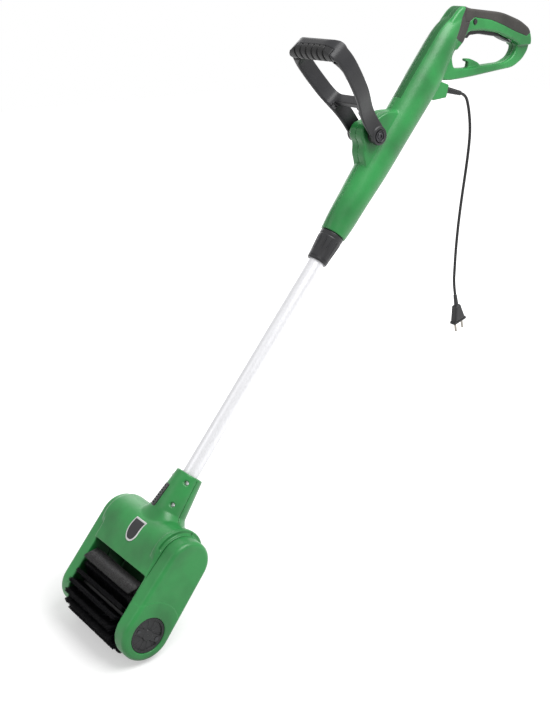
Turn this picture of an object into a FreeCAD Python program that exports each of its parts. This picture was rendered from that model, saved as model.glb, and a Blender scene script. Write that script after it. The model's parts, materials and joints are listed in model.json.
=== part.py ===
import FreeCAD, Part
import math
import os
import re

import Sketcher

# Electric patio cleaner: a belt driven roller brush on a telescopic tube, with a two shell
# housing, a rear handle with trigger and lock button, and a tilting front handle.
#
# The part frame has +Z up, +X to the belt side and +Y back towards the user. Its origin is the
# middle of the rear grip. The stick frame leans back with the tube: its origin is the middle of
# the brush axle, z runs up the tube and y points behind the tube. The pivot frame sits on the
# front handle's bolt, with z running up to that handle's grip.

DOCUMENT = FreeCAD.newDocument("PatioCleaner")
VECTOR = FreeCAD.Vector
X_DIRECTION = VECTOR(1, 0, 0)
FULL_TURN = 360
QUARTER_TURN = 90

# Driving dimensions: alias, value in millimetres or degrees, what it is.
SIZES = [
    # Layout of the stick
    ("lean_angle", 40.5, "lean of the stick from upright, degrees"),
    ("axle_spacing", 125, "brush axle to motor axle"),
    ("neck_rise", 124, "motor axle to the top of the neck"),
    ("tube_showing", 425, "tube between neck and collar"),
    ("collar_length", 56, "height of the lock collar"),
    ("housing_length", 471, "upper housing along the stick"),
    ("grip_rise", 41.5, "rear grip centre beyond the housing's end"),
    ("grip_setback", 80.6, "rear grip centre behind the tube axis"),
    # Fits
    ("running_gap", 0.05, "radial clearance of a running fit"),
    ("moving_gap", 0.4, "clearance between parts that move past each other"),
    ("overrun", 4, "extra length of a cutting tool"),
    # Telescopic tube
    ("tube_diameter", 28, "outer diameter"),
    ("tube_wall", 1.5, "wall"),
    ("tube_socket", 72, "depth in the neck"),
    ("tube_insertion", 170, "length above the collar's foot"),
    ("stop_radius", 16.5, "stop flange on the tube's end plug"),
    ("stop_thickness", 6, "stop flange thickness"),
    ("end_plug_depth", 18, "end plug inside the tube"),
    ("lead_diameter", 5.6, "inner lead"),
    ("lead_slack", 14, "lead showing above the end plug"),
    ("cross_pin_diameter", 5, "pins between neck and tube"),
    ("cross_pin_length", 9, "pins between neck and tube"),
    ("cross_pin_drop", 38, "pins below the top of the neck"),
    # Lock collar and collet
    ("collar_top_radius", 21.5, "outer radius at the housing"),
    ("collar_foot_radius", 18.6, "outer radius at the foot"),
    ("collar_lip", 5, "inner lip at the foot"),
    ("collar_groove_radius", 1.5, "grip groove"),
    ("collar_groove_inset", 9, "plain band at each end of the grooves"),
    ("collet_wall", 2.6, "wall of the collet"),
    ("collet_rise", 6, "collet's end above the collar's foot"),
    ("collet_flange", 3, "flange beyond the collet's wall"),
    ("collet_flange_thickness", 4, "flange thickness"),
    ("collet_slot", 2, "width of the collet's slits"),
    ("collet_slot_length", 30, "length of the collet's slits"),
    ("guide_station", 62, "guide bush above the housing's foot"),
    ("guide_length", 12, "guide bush length"),
    ("guide_wall", 3, "guide bush wall"),
    # Upper housing
    ("shell_wall", 2.8, "wall of the plastic shells"),
    ("housing_foot_radius", 23.3, "radius at the collar"),
    ("housing_half_width", 27, "half width of the barrel"),
    ("housing_half_depth", 35.5, "half depth of the barrel"),
    ("housing_bow", 2.5, "barrel centre in front of the tube axis"),
    ("foot_thickness", 12, "solid foot above the collar"),
    ("rib_thickness", 5, "rib that holds the guide bush"),
    ("pivot_station", 174, "front handle bolt above the housing's foot"),
    ("pivot_stand_off", 51, "front handle bolt in front of the tube axis"),
    ("boss_half_width", 17, "half width of the front handle's boss"),
    ("boss_length", 117, "boss along the stick"),
    ("boss_height", 78, "boss in front of the tube axis"),
    ("boss_edge_radius", 4, "rounding of the boss's edges"),
    ("boss_screw_stand_off", 34, "lower boss screw in front of the tube axis"),
    ("boss_screw_drop", 32.229, "lower boss screw below the bolt"),
    ("boss_screw_rise", 31.827, "upper boss screw above the bolt"),
    ("housing_end_thickness", 38, "solid end above the hollow barrel"),
    ("post_setback", 22.5, "screw posts behind the tube axis"),
    ("capacitor_diameter", 15, "suppression capacitor"),
    ("capacitor_length", 22, "suppression capacitor"),
    # Rear handle
    ("loop_length", 224, "rear handle loop, front to back"),
    ("loop_height", 129, "rear handle loop, top to bottom"),
    ("loop_half_width", 16.5, "half width of the loop"),
    ("loop_edge_radius", 5, "rounding of the grip's edges"),
    ("bar_half_width", 11, "half width of the lower bar"),
    ("bar_edge_radius", 3.5, "rounding of the lower bar"),
    ("bar_drop", 42, "lower bar begins this far below the grip centre"),
    ("grip_cavity_half_width", 11.3, "half width of the hollow in the grip"),
    ("overlay_thickness", 2.4, "soft grip strip"),
    ("trigger_half_width", 8.5, "half width of the trigger"),
    ("trigger_pin_diameter", 4, "trigger pivot pin"),
    ("trigger_pin_back", 26, "pivot pin behind the grip centre"),
    ("trigger_pin_drop", 11, "pivot pin below the grip centre"),
    ("spring_wall", 1.3, "wall of the small springs"),
    ("switch_length", 30, "trigger switch"),
    ("switch_height", 12, "trigger switch"),
    ("switch_forward", 22, "switch in front of the grip centre"),
    ("switch_rise", 2, "switch above the grip centre"),
    ("button_radius", 4.4, "lock button"),
    ("button_proud", 1.6, "lock button above the shell"),
    ("button_forward", 77, "lock button in front of the grip centre"),
    ("button_rise", 4, "lock button above the grip centre"),
    ("button_travel", 3, "lock button travel"),
    ("button_flange_radius", 6, "lock button's inner flange"),
    ("button_flange_thickness", 1.5, "lock button's inner flange"),
    ("hook_width", 9, "cord hook across the handle"),
    # Cord and plug
    ("nozzle_half_width", 10, "half width of the cord outlet"),
    ("relief_length", 44.3, "strain relief outside the housing"),
    ("relief_root_radius", 6.2, "strain relief at the housing"),
    ("relief_tip_radius", 4.8, "strain relief at its tip"),
    ("relief_stem_radius", 4, "strain relief inside the outlet"),
    ("relief_stem_length", 5, "strain relief inside the outlet"),
    ("relief_collar_radius", 7, "collar of the strain relief inside"),
    ("relief_collar_length", 4, "collar of the strain relief inside"),
    ("supply_bore_length", 29, "bore from the outlet into the barrel"),
    ("supply_run", 35, "straight run of the supply lead from the strain relief"),
    ("supply_end_run", 14, "straight run of the supply lead into the switch"),
    ("cord_diameter", 5.5, "mains cord"),
    ("supply_diameter", 5, "supply lead inside the housing"),
    ("plug_relief_length", 23, "strain relief of the plug"),
    ("plug_relief_radius", 4.6, "strain relief of the plug"),
    ("plug_relief_tip_radius", 3.6, "strain relief of the plug at the cord"),
    ("plug_body_length", 36, "plug body"),
    ("plug_neck_width", 13, "plug body at the cord"),
    ("plug_width", 30, "plug body at the flange"),
    ("plug_thickness", 15, "plug body thickness"),
    ("plug_flange_width", 36, "plug flange"),
    ("plug_flange_thickness", 4, "plug flange"),
    ("plug_pin_diameter", 4.8, "plug pin"),
    ("plug_pin_length", 19, "plug pin"),
    ("plug_pin_spacing", 19, "plug pin spacing"),
    # Front handle
    ("front_tilt_angle", 79.3, "front handle forward of the stick, degrees"),
    ("front_reach", 187, "bolt to the front grip's centre"),
    ("front_half_width", 60, "half width of the front handle"),
    ("front_breadth", 30, "breadth of the strap"),
    ("front_strap", 6.5, "thickness of the legs"),
    ("front_grip_depth", 28, "depth of the grip bar"),
    ("eye_radius", 16, "eye at the bolt"),
    ("crossbar_station", 68, "crossbar centre above the bolt"),
    ("crossbar_depth", 10, "crossbar"),
    ("crossbar_setback", 11, "crossbar behind the front of the legs"),
    ("front_setback", 1.5, "middle of the legs behind the bolt"),
    ("front_grip_breadth", 34, "breadth of the grip bar"),
    ("front_grip_half_length", 55, "half length of the round grip bar"),
    ("front_grip_radius", 12.5, "rounding of the grip bar"),
    ("front_edge_radius", 1.5, "rounding of the front handle's edges"),
    ("insert_setback", 3, "ribbed insert's edge in front of the grip's middle"),
    ("insert_length", 96, "ribbed insert across the handle"),
    ("insert_groove", 4, "groove between ribs"),
    ("insert_groove_depth", 2.2, "groove between ribs"),
    ("bolt_diameter", 8, "front handle bolt"),
    ("bolt_head_width", 13, "bolt head across flats"),
    ("bolt_head_height", 4.5, "bolt head"),
    ("eye_recess_radius", 10.5, "recess for the bolt head"),
    ("eye_recess_depth", 5.5, "recess for the bolt head"),
    ("eye_thickness", 9.5, "eye along the bolt"),
    ("disc_radius", 13.5, "detent disc"),
    ("disc_thickness", 6.9, "detent disc"),
    # Brush head
    ("head_half_width", 105, "outer face of each arm"),
    ("mouth_half_width", 77, "inner face of each arm"),
    ("arm_radius", 42, "round ends of the arms"),
    ("cover_face", 110, "outer face of the belt cover"),
    ("cover_foot_radius", 46, "belt cover about the brush axle"),
    ("cover_top_radius", 41, "belt cover about the motor axle"),
    ("arm_edge_radius", 8, "rounding of the arms' outer edges"),
    ("barrel_radius", 46.5, "motor barrel"),
    ("barrel_reach", 92, "motor barrel's end on the plain side"),
    ("rim_radius", 49, "raised rim at the belt side"),
    ("rim_width", 9, "raised rim"),
    ("plate_thickness", 5, "inner wall of the belt case"),
    ("neck_foot_radius", 32.5, "neck at the barrel"),
    ("neck_top_radius", 24, "neck at the tube"),
    ("neck_length", 75, "tapered neck"),
    ("shoulder_half_width", 64, "shoulder on the barrel"),
    ("shoulder_height", 18.5, "shoulder's start below the barrel's top"),
    ("shoulder_blend", 5, "shoulder's end above the neck's foot"),
    ("front_lip_drop", 47, "front lip below the motor axle"),
    ("front_lip_reach", 43.5, "front lip in front of the axle"),
    ("rear_lip_drop", 79, "rear guard below the motor axle"),
    ("rear_lip_reach", 44, "rear guard behind the axle"),
    ("vent_width", 19, "vent panel on the neck"),
    ("vent_side_offset", 11.5, "vent panel's middle beside the neck's middle"),
    ("vent_proud", 0.5, "vent panel above the neck"),
    ("vent_height", 43, "vent panel on the neck"),
    ("vent_thickness", 2.4, "vent panel on the neck"),
    ("vent_drop", 52, "vent panel's middle below the neck's top"),
    ("vent_slit", 1.6, "slits of the vent panel"),
    ("cap_radius", 30.5, "axle end cap"),
    ("cap_thickness", 3.4, "axle end cap"),
    ("cap_recess", 1.6, "cap below the arm's outer face"),
    ("cap_ledge_width", 14, "ledge that carries the cap"),
    ("cap_ledge_thickness", 1.5, "ledge that carries the cap"),
    ("cap_bar_half_width", 7, "bar across the cap"),
    ("cap_dish", 1.4, "dish of the cap beside its bar"),
    ("cap_rim", 3, "rim of the cap"),
    ("cap_screw_radius", 20.5, "cap screws from the axle"),
    # Motor
    ("stator_radius", 36, "stator outer radius"),
    ("stator_ring", 5, "stator yoke"),
    ("stator_length", 60, "stator stack"),
    ("coil_overhang", 7, "field coil past the stack"),
    ("coil_depth", 8, "field coil, inner to outer"),
    ("pole_half_width", 15, "half width of a stator pole"),
    ("air_gap", 0.5, "rotor to stator"),
    ("rotor_radius", 20, "armature stack"),
    ("rotor_slot", 3, "armature slot width"),
    ("rotor_slot_depth", 8, "armature slot depth"),
    ("winding_radius", 16, "winding ends"),
    ("winding_length", 8, "winding ends"),
    ("shaft_radius", 4, "motor shaft"),
    ("commutator_radius", 12, "commutator"),
    ("commutator_length", 15, "commutator"),
    ("fan_radius", 33, "cooling fan"),
    ("fan_hub_radius", 8, "fan hub"),
    ("fan_width", 12, "fan"),
    ("fan_plate", 2, "fan back plate"),
    ("fan_blade", 2, "fan blade"),
    ("brush_holder_width", 8, "carbon brush holder"),
    ("brush_holder_length", 10, "carbon brush holder"),
    ("carbon_wall", 1, "holder wall"),
    ("motor_bearing_radius", 11, "motor bearing outer radius"),
    ("motor_bearing_width", 7, "motor bearing"),
    # Belt drive and brush
    ("drive_pulley_radius", 9, "pulley on the motor shaft"),
    ("driven_pulley_radius", 30, "pulley on the brush spindle"),
    ("pulley_width", 8, "pulleys"),
    ("pulley_groove", 0.9, "pulley grooves"),
    ("pulley_web_hole", 6, "radius of the holes in the driven pulley"),
    ("belt_thickness", 2.4, "belt"),
    ("belt_side_gap", 0.5, "belt edge to pulley edge"),
    ("spindle_radius", 5, "brush spindle"),
    ("spindle_bearing_radius", 13, "spindle bearing outer radius"),
    ("spindle_bearing_width", 8, "spindle bearing"),
    ("seat_wall", 3, "wall around a bearing seat"),
    ("core_radius", 22, "brush core"),
    ("core_half_length", 72, "brush core"),
    ("core_wall", 4, "brush core"),
    ("core_end", 6, "end wall of the brush core"),
    ("brush_radius", 53, "bristle tips from the axle"),
    ("bristle_thickness", 5, "one row of bristles"),
    # Fasteners
    ("screw_radius", 1.9, "case screw shank"),
    ("screw_head_radius", 3.4, "case screw head"),
    ("screw_head_height", 2.4, "case screw head"),
    ("screw_post_radius", 4.6, "post around a case screw"),
    ("screw_seat", 7, "housing screw heads from the middle"),
    ("screw_reach", 8, "housing screw tips past the middle"),
    ("screw_sink", 1, "neck screw heads below the surface"),
    ("belt_screw_length", 16, "belt cover screws beyond the plate"),
]

# Sizes worked out from the driving dimensions: name, formula.
FITS = [
    ("neck_top", "axle_spacing + neck_rise"),
    ("collar_foot", "neck_top + tube_showing"),
    ("housing_foot", "collar_foot + collar_length"),
    ("housing_top", "housing_foot + housing_length"),
    ("grip_station", "housing_top + grip_rise"),
    ("brush_y", "-grip_station * sin(lean_angle) - grip_setback * cos(lean_angle)"),
    ("brush_z", "-grip_station * cos(lean_angle) + grip_setback * sin(lean_angle)"),
    ("motor_y", "brush_y + axle_spacing * sin(lean_angle)"),
    ("motor_z", "brush_z + axle_spacing * cos(lean_angle)"),
    ("bolt_station", "housing_foot + pivot_station"),
    ("bolt_y", "brush_y + bolt_station * sin(lean_angle) - pivot_stand_off * cos(lean_angle)"),
    ("bolt_z", "brush_z + bolt_station * cos(lean_angle) + pivot_stand_off * sin(lean_angle)"),
    ("tube_radius", "tube_diameter / 2"),
    ("tube_bore", "tube_radius - tube_wall"),
    ("tube_bottom", "neck_top - tube_socket"),
    ("tube_top", "collar_foot + tube_insertion"),
    ("sliding_radius", "tube_radius + running_gap"),
    ("collet_radius", "sliding_radius + collet_wall"),
    ("collar_bore", "collet_radius + moving_gap"),
    ("guide_foot", "housing_foot + guide_station"),
    ("guide_radius", "sliding_radius + guide_wall"),
    ("rib_foot", "guide_foot + (guide_length - rib_thickness) / 2"),
    ("hollow_top", "housing_top - housing_end_thickness"),
    ("barrel_bore", "barrel_radius - shell_wall"),
    ("barrel_end", "mouth_half_width - rim_width"),
    ("belt_case_wall", "mouth_half_width + plate_thickness"),
    ("arm_bore", "arm_radius - shell_wall"),
    ("pulley_start", "belt_case_wall + spindle_bearing_width"),
    ("pulley_end", "pulley_start + pulley_width"),
    ("bearing_start", "mouth_half_width + seat_wall"),
    ("bearing_end", "bearing_start + spindle_bearing_width"),
    ("seat_radius", "spindle_bearing_radius + seat_wall"),
    ("cap_face", "cover_face - cap_recess"),
    ("cap_back", "cap_face - cap_thickness"),
    ("spindle_end", "cap_back - moving_gap"),
    ("motor_bearing_start", "mouth_half_width - motor_bearing_width - rib_thickness / 2"),
    ("coil_radius", "stator_radius - stator_ring"),
    ("pole_radius", "rotor_radius + air_gap"),
    ("stack_half_length", "stator_length / 2"),
    ("eye_inner", "boss_half_width + disc_thickness + moving_gap"),
    ("eye_outer", "eye_inner + eye_thickness"),
    ("grip_floor", "front_reach - front_grip_depth / 2"),
    ("front_top", "front_reach + front_grip_depth / 2"),
    ("pin_height", "neck_top - cross_pin_drop"),
    ("shoulder_foot", "axle_spacing + barrel_radius - shoulder_height"),
    ("neck_foot", "neck_top - neck_length"),
    ("commutator_start", "motor_bearing_start - moving_gap - commutator_length"),
    ("fan_start", "stack_half_length + winding_length + rib_thickness"),
    ("collar_top", "housing_foot - moving_gap"),
    ("flange_foot", "housing_foot + foot_thickness"),
]

SIDES = (-1, 1)
COLLAR_GROOVES = 12
ROTOR_SLOTS = 12
FAN_BLADES = 9
HEXAGON_SIDES = 6
INSERT_RIBS = 7
VENT_SLITS = 8
PULLEY_GROOVES = 3
WEB_HOLES = 5
BRISTLE_ROWS = 16
CAPACITOR_ROW = 6
TRIGGER_HEEL = 7
EXIT_CORNERS = slice(3, 5)

# Arcs take these shares of the shorter run beside a corner.
CORNER_SHARE = 0.4
ARC_REACH_SHARE = 0.45
VOLUME_SLACK_SHARE = 0.01

# The barrel's ovals: height of the housing, half width, half depth and bow.
BARREL_SHARES = [
    (0.142, 0.95, 0.79, 0.36),
    (0.276, 0.985, 0.896, 0.48),
    (0.425, 1, 0.93, 0.72),
    (0.580, 1, 0.966, 0.96),
    (0.658, 1, 0.985, 1.2),
    (0.764, 0.98, 0.912, 2.5),
    (0.822, 0.92, 0.817, 4),
    (0.870, 0.84, 0.757, 4.35),
    (0.919, 0.74, 0.654, 3.3),
    (0.990, 0.59, 0.42, 0.84),
]

# The front handle's boss: shares of its height out from the tube and of its length.
BOSS_SHARES = [
    (0.26, 0.02),
    (0.42, 0.107),
    (0.59, 0.175),
    (0.73, 0.30),
    (0.90, 0.33),
    (1, 0.423),
    (1, 0.534),
    (0.87, 0.637),
    (0.64, 0.919),
    (0.42, 1.038),
    (0.26, 1.098),
]

# Outlines on the rear handle: shares of its length and height from the grip's centre.
LOOP_SHARES = [
    (-0.478, 0.25),
    (-0.40, 0.21),
    (-0.210, 0.177),
    (0, 0.140),
    (0.235, 0.020),
    (0.366, -0.101),
    (0.402, -0.271),
    (0.384, -0.411),
    (0.321, -0.535),
    (0.208, -0.636),
    (0.040, -0.659),
    (-0.330, -0.717),
    (-0.603, -0.740),
    (-0.803, -0.671),
    (-0.643, 0.012),
    (-0.536, 0.194),
]
OPENING_SHARES = [
    (-0.432, -0.147),
    (-0.396, -0.097),
    (-0.243, -0.089),
    (-0.045, -0.136),
    (0.036, -0.186),
    (0.152, -0.250),
    (0.232, -0.310),
    (0.228, -0.395),
    (0.188, -0.488),
    (0.089, -0.557),
    (-0.201, -0.574),
    (-0.335, -0.593),
    (-0.532, -0.581),
    (-0.560, -0.431),
    (-0.530, -0.341),
    (-0.453, -0.228),
]
OUTLET_SHARES = [
    (-0.826, -0.915),
    (-0.741, -0.984),
    (-0.600, -0.965),
    (-0.5915, -0.927),
    (-0.5737, -0.7915),
    (-0.655, -0.745),
    (-0.759, -0.659),
]
GRIP_HOLLOW_SHARES = [
    (-0.625, -0.093),
    (-0.571, 0.062),
    (-0.491, 0.147),
    (-0.429, 0.144),
    (-0.210, 0.118),
    (0, 0.087),
    (0.179, 0.004),
    (0.210, -0.078),
    (0.179, -0.186),
    (0.152, -0.209),
    (0.036, -0.155),
    (-0.045, -0.112),
    (-0.243, -0.066),
    (-0.393, -0.074),
    (-0.446, -0.093),
    (-0.527, -0.248),
]
TRIGGER_SHARES = [
    (-0.402, -0.105),
    (-0.402, -0.186),
    (-0.384, -0.190),
    (-0.357, -0.150),
    (-0.241, -0.141),
    (-0.045, -0.186),
    (0.009, -0.198),
    (0.025, -0.132),
    (0.121, -0.136),
    (0.136, -0.093),
    (0.129, -0.050),
    (0.027, -0.054),
    (-0.045, -0.066),
    (-0.241, -0.054),
    (-0.384, -0.050),
]
HOOK_SHARES = [
    (-0.335, -0.620),
    (-0.331, -0.516),
    (-0.368, -0.496),
    (-0.371, -0.461),
    (-0.323, -0.465),
    (-0.271, -0.492),
    (-0.212, -0.532),
    (-0.174, -0.589),
    (-0.174, -0.620),
]
OVERLAY_SHARES = [
    (-0.464, 0.310),
    (0.491, 0.310),
    (0.491, -0.062),
    (0.420, -0.109),
    (0.321, -0.206),
    (0.163, -0.128),
    (0.007, -0.033),
    (-0.143, 0.043),
    (-0.349, 0.090),
    (-0.404, 0.036),
    (-0.460, 0.031),
]
SUPPLY_SHARES = [
    (-0.808, -0.704),
    (-0.763, -0.566),
    (-0.678, -0.346),
    (-0.590, -0.119),
    (-0.482, 0.023),
    (-0.411, 0.101),
    (-0.286, 0.101),
]
LOOP_SCREW_SHARES = [
    (0.312, -0.357),
    (-0.045, -0.617),
    (-0.634, -0.643),
    (-0.504, 0.109),
]

# Screws behind the tube, as shares of the housing's length.
STICK_SCREW_SHARES = [0.3, 0.6]

# Screws of the boss: how far behind the tube, and how far above the housing's foot.
BOSS_SCREWS = [
    ("-boss_screw_stand_off", "pivot_station - boss_screw_drop"),
    ("-pivot_stand_off", "pivot_station + boss_screw_rise"),
]

# Screws of the neck: side, and share of the neck's length below its top.
NECK_SCREW_SHARES = [(-1, 0.187), (1, 0.187), (1, 0.747)]
SHOULDER_WAIST_SHARE = 0.94

# The front handle's right side, from the top: shares of its half width and height.
FRONT_OUTER_SHARES = [
    (0.55, 1),
    (0.88, 0.955),
    (1, 0.80),
    (0.955, 0.65),
    (0.86, 0.472),
    (0.523, 0.223),
    (0.516, 0.01),
    (0.501, 0),
]
# Its hand space: shares of the half width and of the height between crossbar and grip.
WINDOW_SHARES = [
    (0.82, 1),
    (0.985, 0.85),
    (0.945, 0.57),
    (0.84, 0.22),
    (0.705, 0),
]
# The space below its crossbar: shares of the half width and of the crossbar's height.
CROTCH_SHARES = [
    (0.60, 1),
    (0.585, 0.88),
]
CROTCH_NECK_SHARE = 0.58

# The cord's route: y and z from the strain relief's tip, in millimetres.
CORD_ROUTE = [
    (0, 0),
    (16.1, -3.675),
    (26.4, -26.7),
    (33.6, -57.2),
    (35.6, -82.2),
    (33.8, -114.2),
    (30.4, -147.2),
    (24.5, -194.2),
    (19.4, -245.2),
    (16.8, -299.2),
    (17.1, -339.2),
    (17.4, -367.3),
    (23.7, -392.5),
]

SIZE_NAMES = {row[0] for row in SIZES}
FIT_NAMES = {row[0] for row in FITS}
WORD = re.compile(r"[a-z][a-z_]*")
NODES = []


def formula(text):
    """Turns a formula of plain names into one that the document can read."""
    def full_name(match):
        word = match.group(0)
        if word in SIZE_NAMES:
            return "Sizes." + word
        if word in FIT_NAMES:
            return "Fits." + word
        return word
    return WORD.sub(full_name, text)


def fill_sheet():
    """Writes the driving dimensions to the sheet, one row each."""
    sheet = DOCUMENT.addObject("Spreadsheet::Sheet", "Sizes")
    for row, (alias, value, meaning) in enumerate(SIZES, start=1):
        sheet.set(f"A{row}", meaning)
        sheet.set(f"B{row}", str(value))
        sheet.setAlias(f"B{row}", alias)
    DOCUMENT.recompute()


def fill_fits():
    """Keeps the worked out sizes in a set of bound values."""
    fits = DOCUMENT.addObject("App::VarSet", "Fits")
    for name, text in FITS:
        fits.addProperty("App::PropertyFloat", name, "Fits")
        fits.setExpression(name, formula(text))
    DOCUMENT.recompute()


def new_reader():
    """An object that works out one formula at a time."""
    reader = DOCUMENT.addObject("App::VarSet", "Reader")
    reader.addProperty("App::PropertyFloat", "reading", "Reader")
    return reader


fill_sheet()
fill_fits()
READER = new_reader()
READINGS = {}


def size(text):
    """The value of a formula."""
    if text not in READINGS:
        READER.setExpression("reading", formula(text))
        READER.recompute()
        READINGS[text] = READER.reading
    return READINGS[text]


# Placements, as formulas of base and turn about X.
FRAMES = {
    "part": ("0", "0", "0"),
    "stick": ("brush_y", "brush_z", "-lean_angle"),
    "pivot": ("bolt_y", "bolt_z", "front_tilt_angle - lean_angle"),
    "brush axle": ("brush_y", "brush_z", None),
    "motor axle": ("motor_y", "motor_z", None),
    "bolt axle": ("bolt_y", "bolt_z", None),
}


def placement_formula(frame):
    """The placement of a frame: an axle frame has its z along the part's X."""
    base_y, base_z, turn = FRAMES[frame]
    if turn is None:
        rotation = "rotation(vector(0; 1; 0); 90)"
    else:
        rotation = f"rotation(vector(1; 0; 0); {turn})"
    return formula(f"placement(vector(0; {base_y}; {base_z}); {rotation})")


def place(item, frame):
    """Binds an object's placement to its frame."""
    item.setExpression("Placement", placement_formula(frame))


def origin_plane(body, role):
    """One of the body's own planes or axes."""
    return next(item for item in body.Origin.OriginFeatures if item.Role == role)


def new_body(label, frame):
    """An empty body in its frame."""
    body = DOCUMENT.addObject("PartDesign::Body", "Body_" + label)
    body.Label = label
    place(body, frame)
    return body


def keep(item, label):
    """Lists an object as a node of the part."""
    item.Label = label
    NODES.append(item)
    return item


def new_sketch(body, role, name):
    """A sketch on one of the body's own planes."""
    sketch = body.newObject("Sketcher::SketchObject", name)
    sketch.AttachmentSupport = [(origin_plane(body, role), "")]
    sketch.MapMode = "FlatFace"
    return sketch


def bind_constraint(sketch, constraint, text):
    """Adds a constraint whose value follows a formula."""
    index = sketch.addConstraint(constraint)
    sketch.setExpression(f"Constraints[{index}]", formula(text))


def draw_polygon(sketch, points):
    """A closed outline of straight lines, every corner bound to its two formulas."""
    corners = [VECTOR(size(across), size(along), 0) for across, along in points]
    count = len(corners)
    first = len(sketch.Geometry)
    for index in range(count):
        sketch.addGeometry(Part.LineSegment(corners[index], corners[(index + 1) % count]))
    for index in range(count):
        following = first + (index + 1) % count
        sketch.addConstraint(Sketcher.Constraint("Coincident", first + index, 2, following, 1))
    for index, (across, along) in enumerate(points):
        edge = first + index
        place_x = Sketcher.Constraint("DistanceX", -1, 1, edge, 1, corners[index].x)
        bind_constraint(sketch, place_x, across)
        place_y = Sketcher.Constraint("DistanceY", -1, 1, edge, 1, corners[index].y)
        bind_constraint(sketch, place_y, along)


def draw_circle(sketch, across, along, radius):
    """A circle whose centre and radius follow formulas."""
    centre = VECTOR(size(across), size(along), 0)
    circle = sketch.addGeometry(Part.Circle(centre, VECTOR(0, 0, 1), size(radius)))
    bind_constraint(sketch, Sketcher.Constraint("Radius", circle, size(radius)), radius)
    place_x = Sketcher.Constraint("DistanceX", -1, 1, circle, 3, centre.x)
    bind_constraint(sketch, place_x, across)
    place_y = Sketcher.Constraint("DistanceY", -1, 1, circle, 3, centre.y)
    bind_constraint(sketch, place_y, along)


def turn_body(label, frame, points):
    """A turned piece: an outline of radius and height revolved about its z axis."""
    body = new_body(label, frame)
    sketch = new_sketch(body, "XZ_Plane", "Outline_" + label)
    draw_polygon(sketch, points)
    revolution = body.newObject("PartDesign::Revolution", "Turned_" + label)
    revolution.Profile = sketch
    revolution.ReferenceAxis = (origin_plane(body, "Z_Axis"), [""])
    revolution.Angle = FULL_TURN
    DOCUMENT.recompute()
    return keep(body, label)


def check_volume(body, before, what):
    """Raises when a cut took nothing away."""
    if body.Shape.Volume >= before:
        raise RuntimeError(f"{body.Label}: {what} cut nothing")


def cut_round(body, role, across, along, radius, name):
    """A hole right through a body, square to one of its planes."""
    before = body.Shape.Volume
    sketch = new_sketch(body, role, "Sketch_" + name)
    draw_circle(sketch, across, along, radius)
    pocket = body.newObject("PartDesign::Pocket", name)
    pocket.Profile = sketch
    pocket.Type = "ThroughAll"
    pocket.SideType = "Symmetric"
    DOCUMENT.recompute()
    check_volume(body, before, name)
    return pocket


def cut_polygon(body, role, points, name, length=None):
    """A pocket through a body, or of a given length, even about one of its planes."""
    before = body.Shape.Volume
    sketch = new_sketch(body, role, "Sketch_" + name)
    draw_polygon(sketch, points)
    pocket = body.newObject("PartDesign::Pocket", name)
    pocket.Profile = sketch
    pocket.SideType = "Symmetric"
    if length is None:
        pocket.Type = "ThroughAll"
    else:
        pocket.Type = "Length"
        pocket.setExpression("Length", formula(length))
    DOCUMENT.recompute()
    check_volume(body, before, name)
    return pocket


def repeat_around(body, feature, count, name):
    """Repeats a feature evenly around the body's z axis."""
    before = body.Shape.Volume
    pattern = body.newObject("PartDesign::PolarPattern", name)
    pattern.Originals = [feature]
    pattern.Axis = (origin_plane(body, "Z_Axis"), [""])
    pattern.Angle = FULL_TURN
    pattern.Occurrences = count
    body.Tip = pattern
    DOCUMENT.recompute()
    check_volume(body, before, name)


def frame_placement(frame):
    """The placement of a frame as a value, for shapes that are built in code."""
    base_y, base_z, turn = FRAMES[frame]
    base = VECTOR(0, size(base_y), size(base_z))
    if turn is None:
        return FreeCAD.Placement(base, FreeCAD.Rotation(VECTOR(0, 1, 0), QUARTER_TURN))
    return FreeCAD.Placement(base, FreeCAD.Rotation(X_DIRECTION, size(turn)))


def placed_node(label, placement, shape):
    """A node whose shape is built in code, then set in its place."""
    item = DOCUMENT.addObject("Part::Feature", "Shape_" + label)
    item.Shape = shape
    item.Placement = placement
    return keep(item, label)


def shape_node(label, frame, shape):
    """A node whose shape is built in code, in the axes of its frame."""
    return placed_node(label, frame_placement(frame), shape)


def in_frame(shape, frame, target):
    """A copy of a shape, carried from one frame's axes to another's."""
    move = frame_placement(target).inverse().multiply(frame_placement(frame))
    moved = shape.copy()
    moved.Placement = move.multiply(moved.Placement)
    return moved


def rounded_wire(points, reach_share, closed):
    """A path of straight runs joined by tangent arcs, and the arcs' radii.

    Each arc takes the same share of the shorter run beside its corner.
    """
    count = len(points)
    corners = range(count) if closed else range(1, count - 1)
    starts = {}
    ends = {}
    middles = {}
    radii = []
    for index in corners:
        corner = points[index]
        before = points[index - 1] - corner
        after = points[(index + 1) % count] - corner
        reach = reach_share * min(before.Length, after.Length)
        half_inner = before.getAngle(after) / 2
        radius = reach * math.tan(half_inner)
        bisector = (before.normalize() + after.normalize()).normalize()
        starts[index] = corner + before * reach
        ends[index] = corner + after * reach
        middles[index] = corner + bisector * (radius / math.sin(half_inner) - radius)
        radii.append(radius)
    edges = []
    stops = range(count) if closed else range(count - 1)
    for index in stops:
        following = (index + 1) % count
        if index in middles:
            edges.append(Part.Arc(starts[index], middles[index], ends[index]).toShape())
        run_start = ends.get(index, points[index])
        run_end = starts.get(following, points[following])
        edges.append(Part.LineSegment(run_start, run_end).toShape())
    return Part.Wire(edges), radii


def rounded_prism(points, reach_share, half_width):
    """A closed outline in the YZ plane with rounded corners, extruded to both sides of it."""
    wire, _ = rounded_wire([VECTOR(-half_width, y, z) for y, z in points], reach_share, True)
    return Part.Face(wire).extrude(X_DIRECTION * (2 * half_width))


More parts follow.
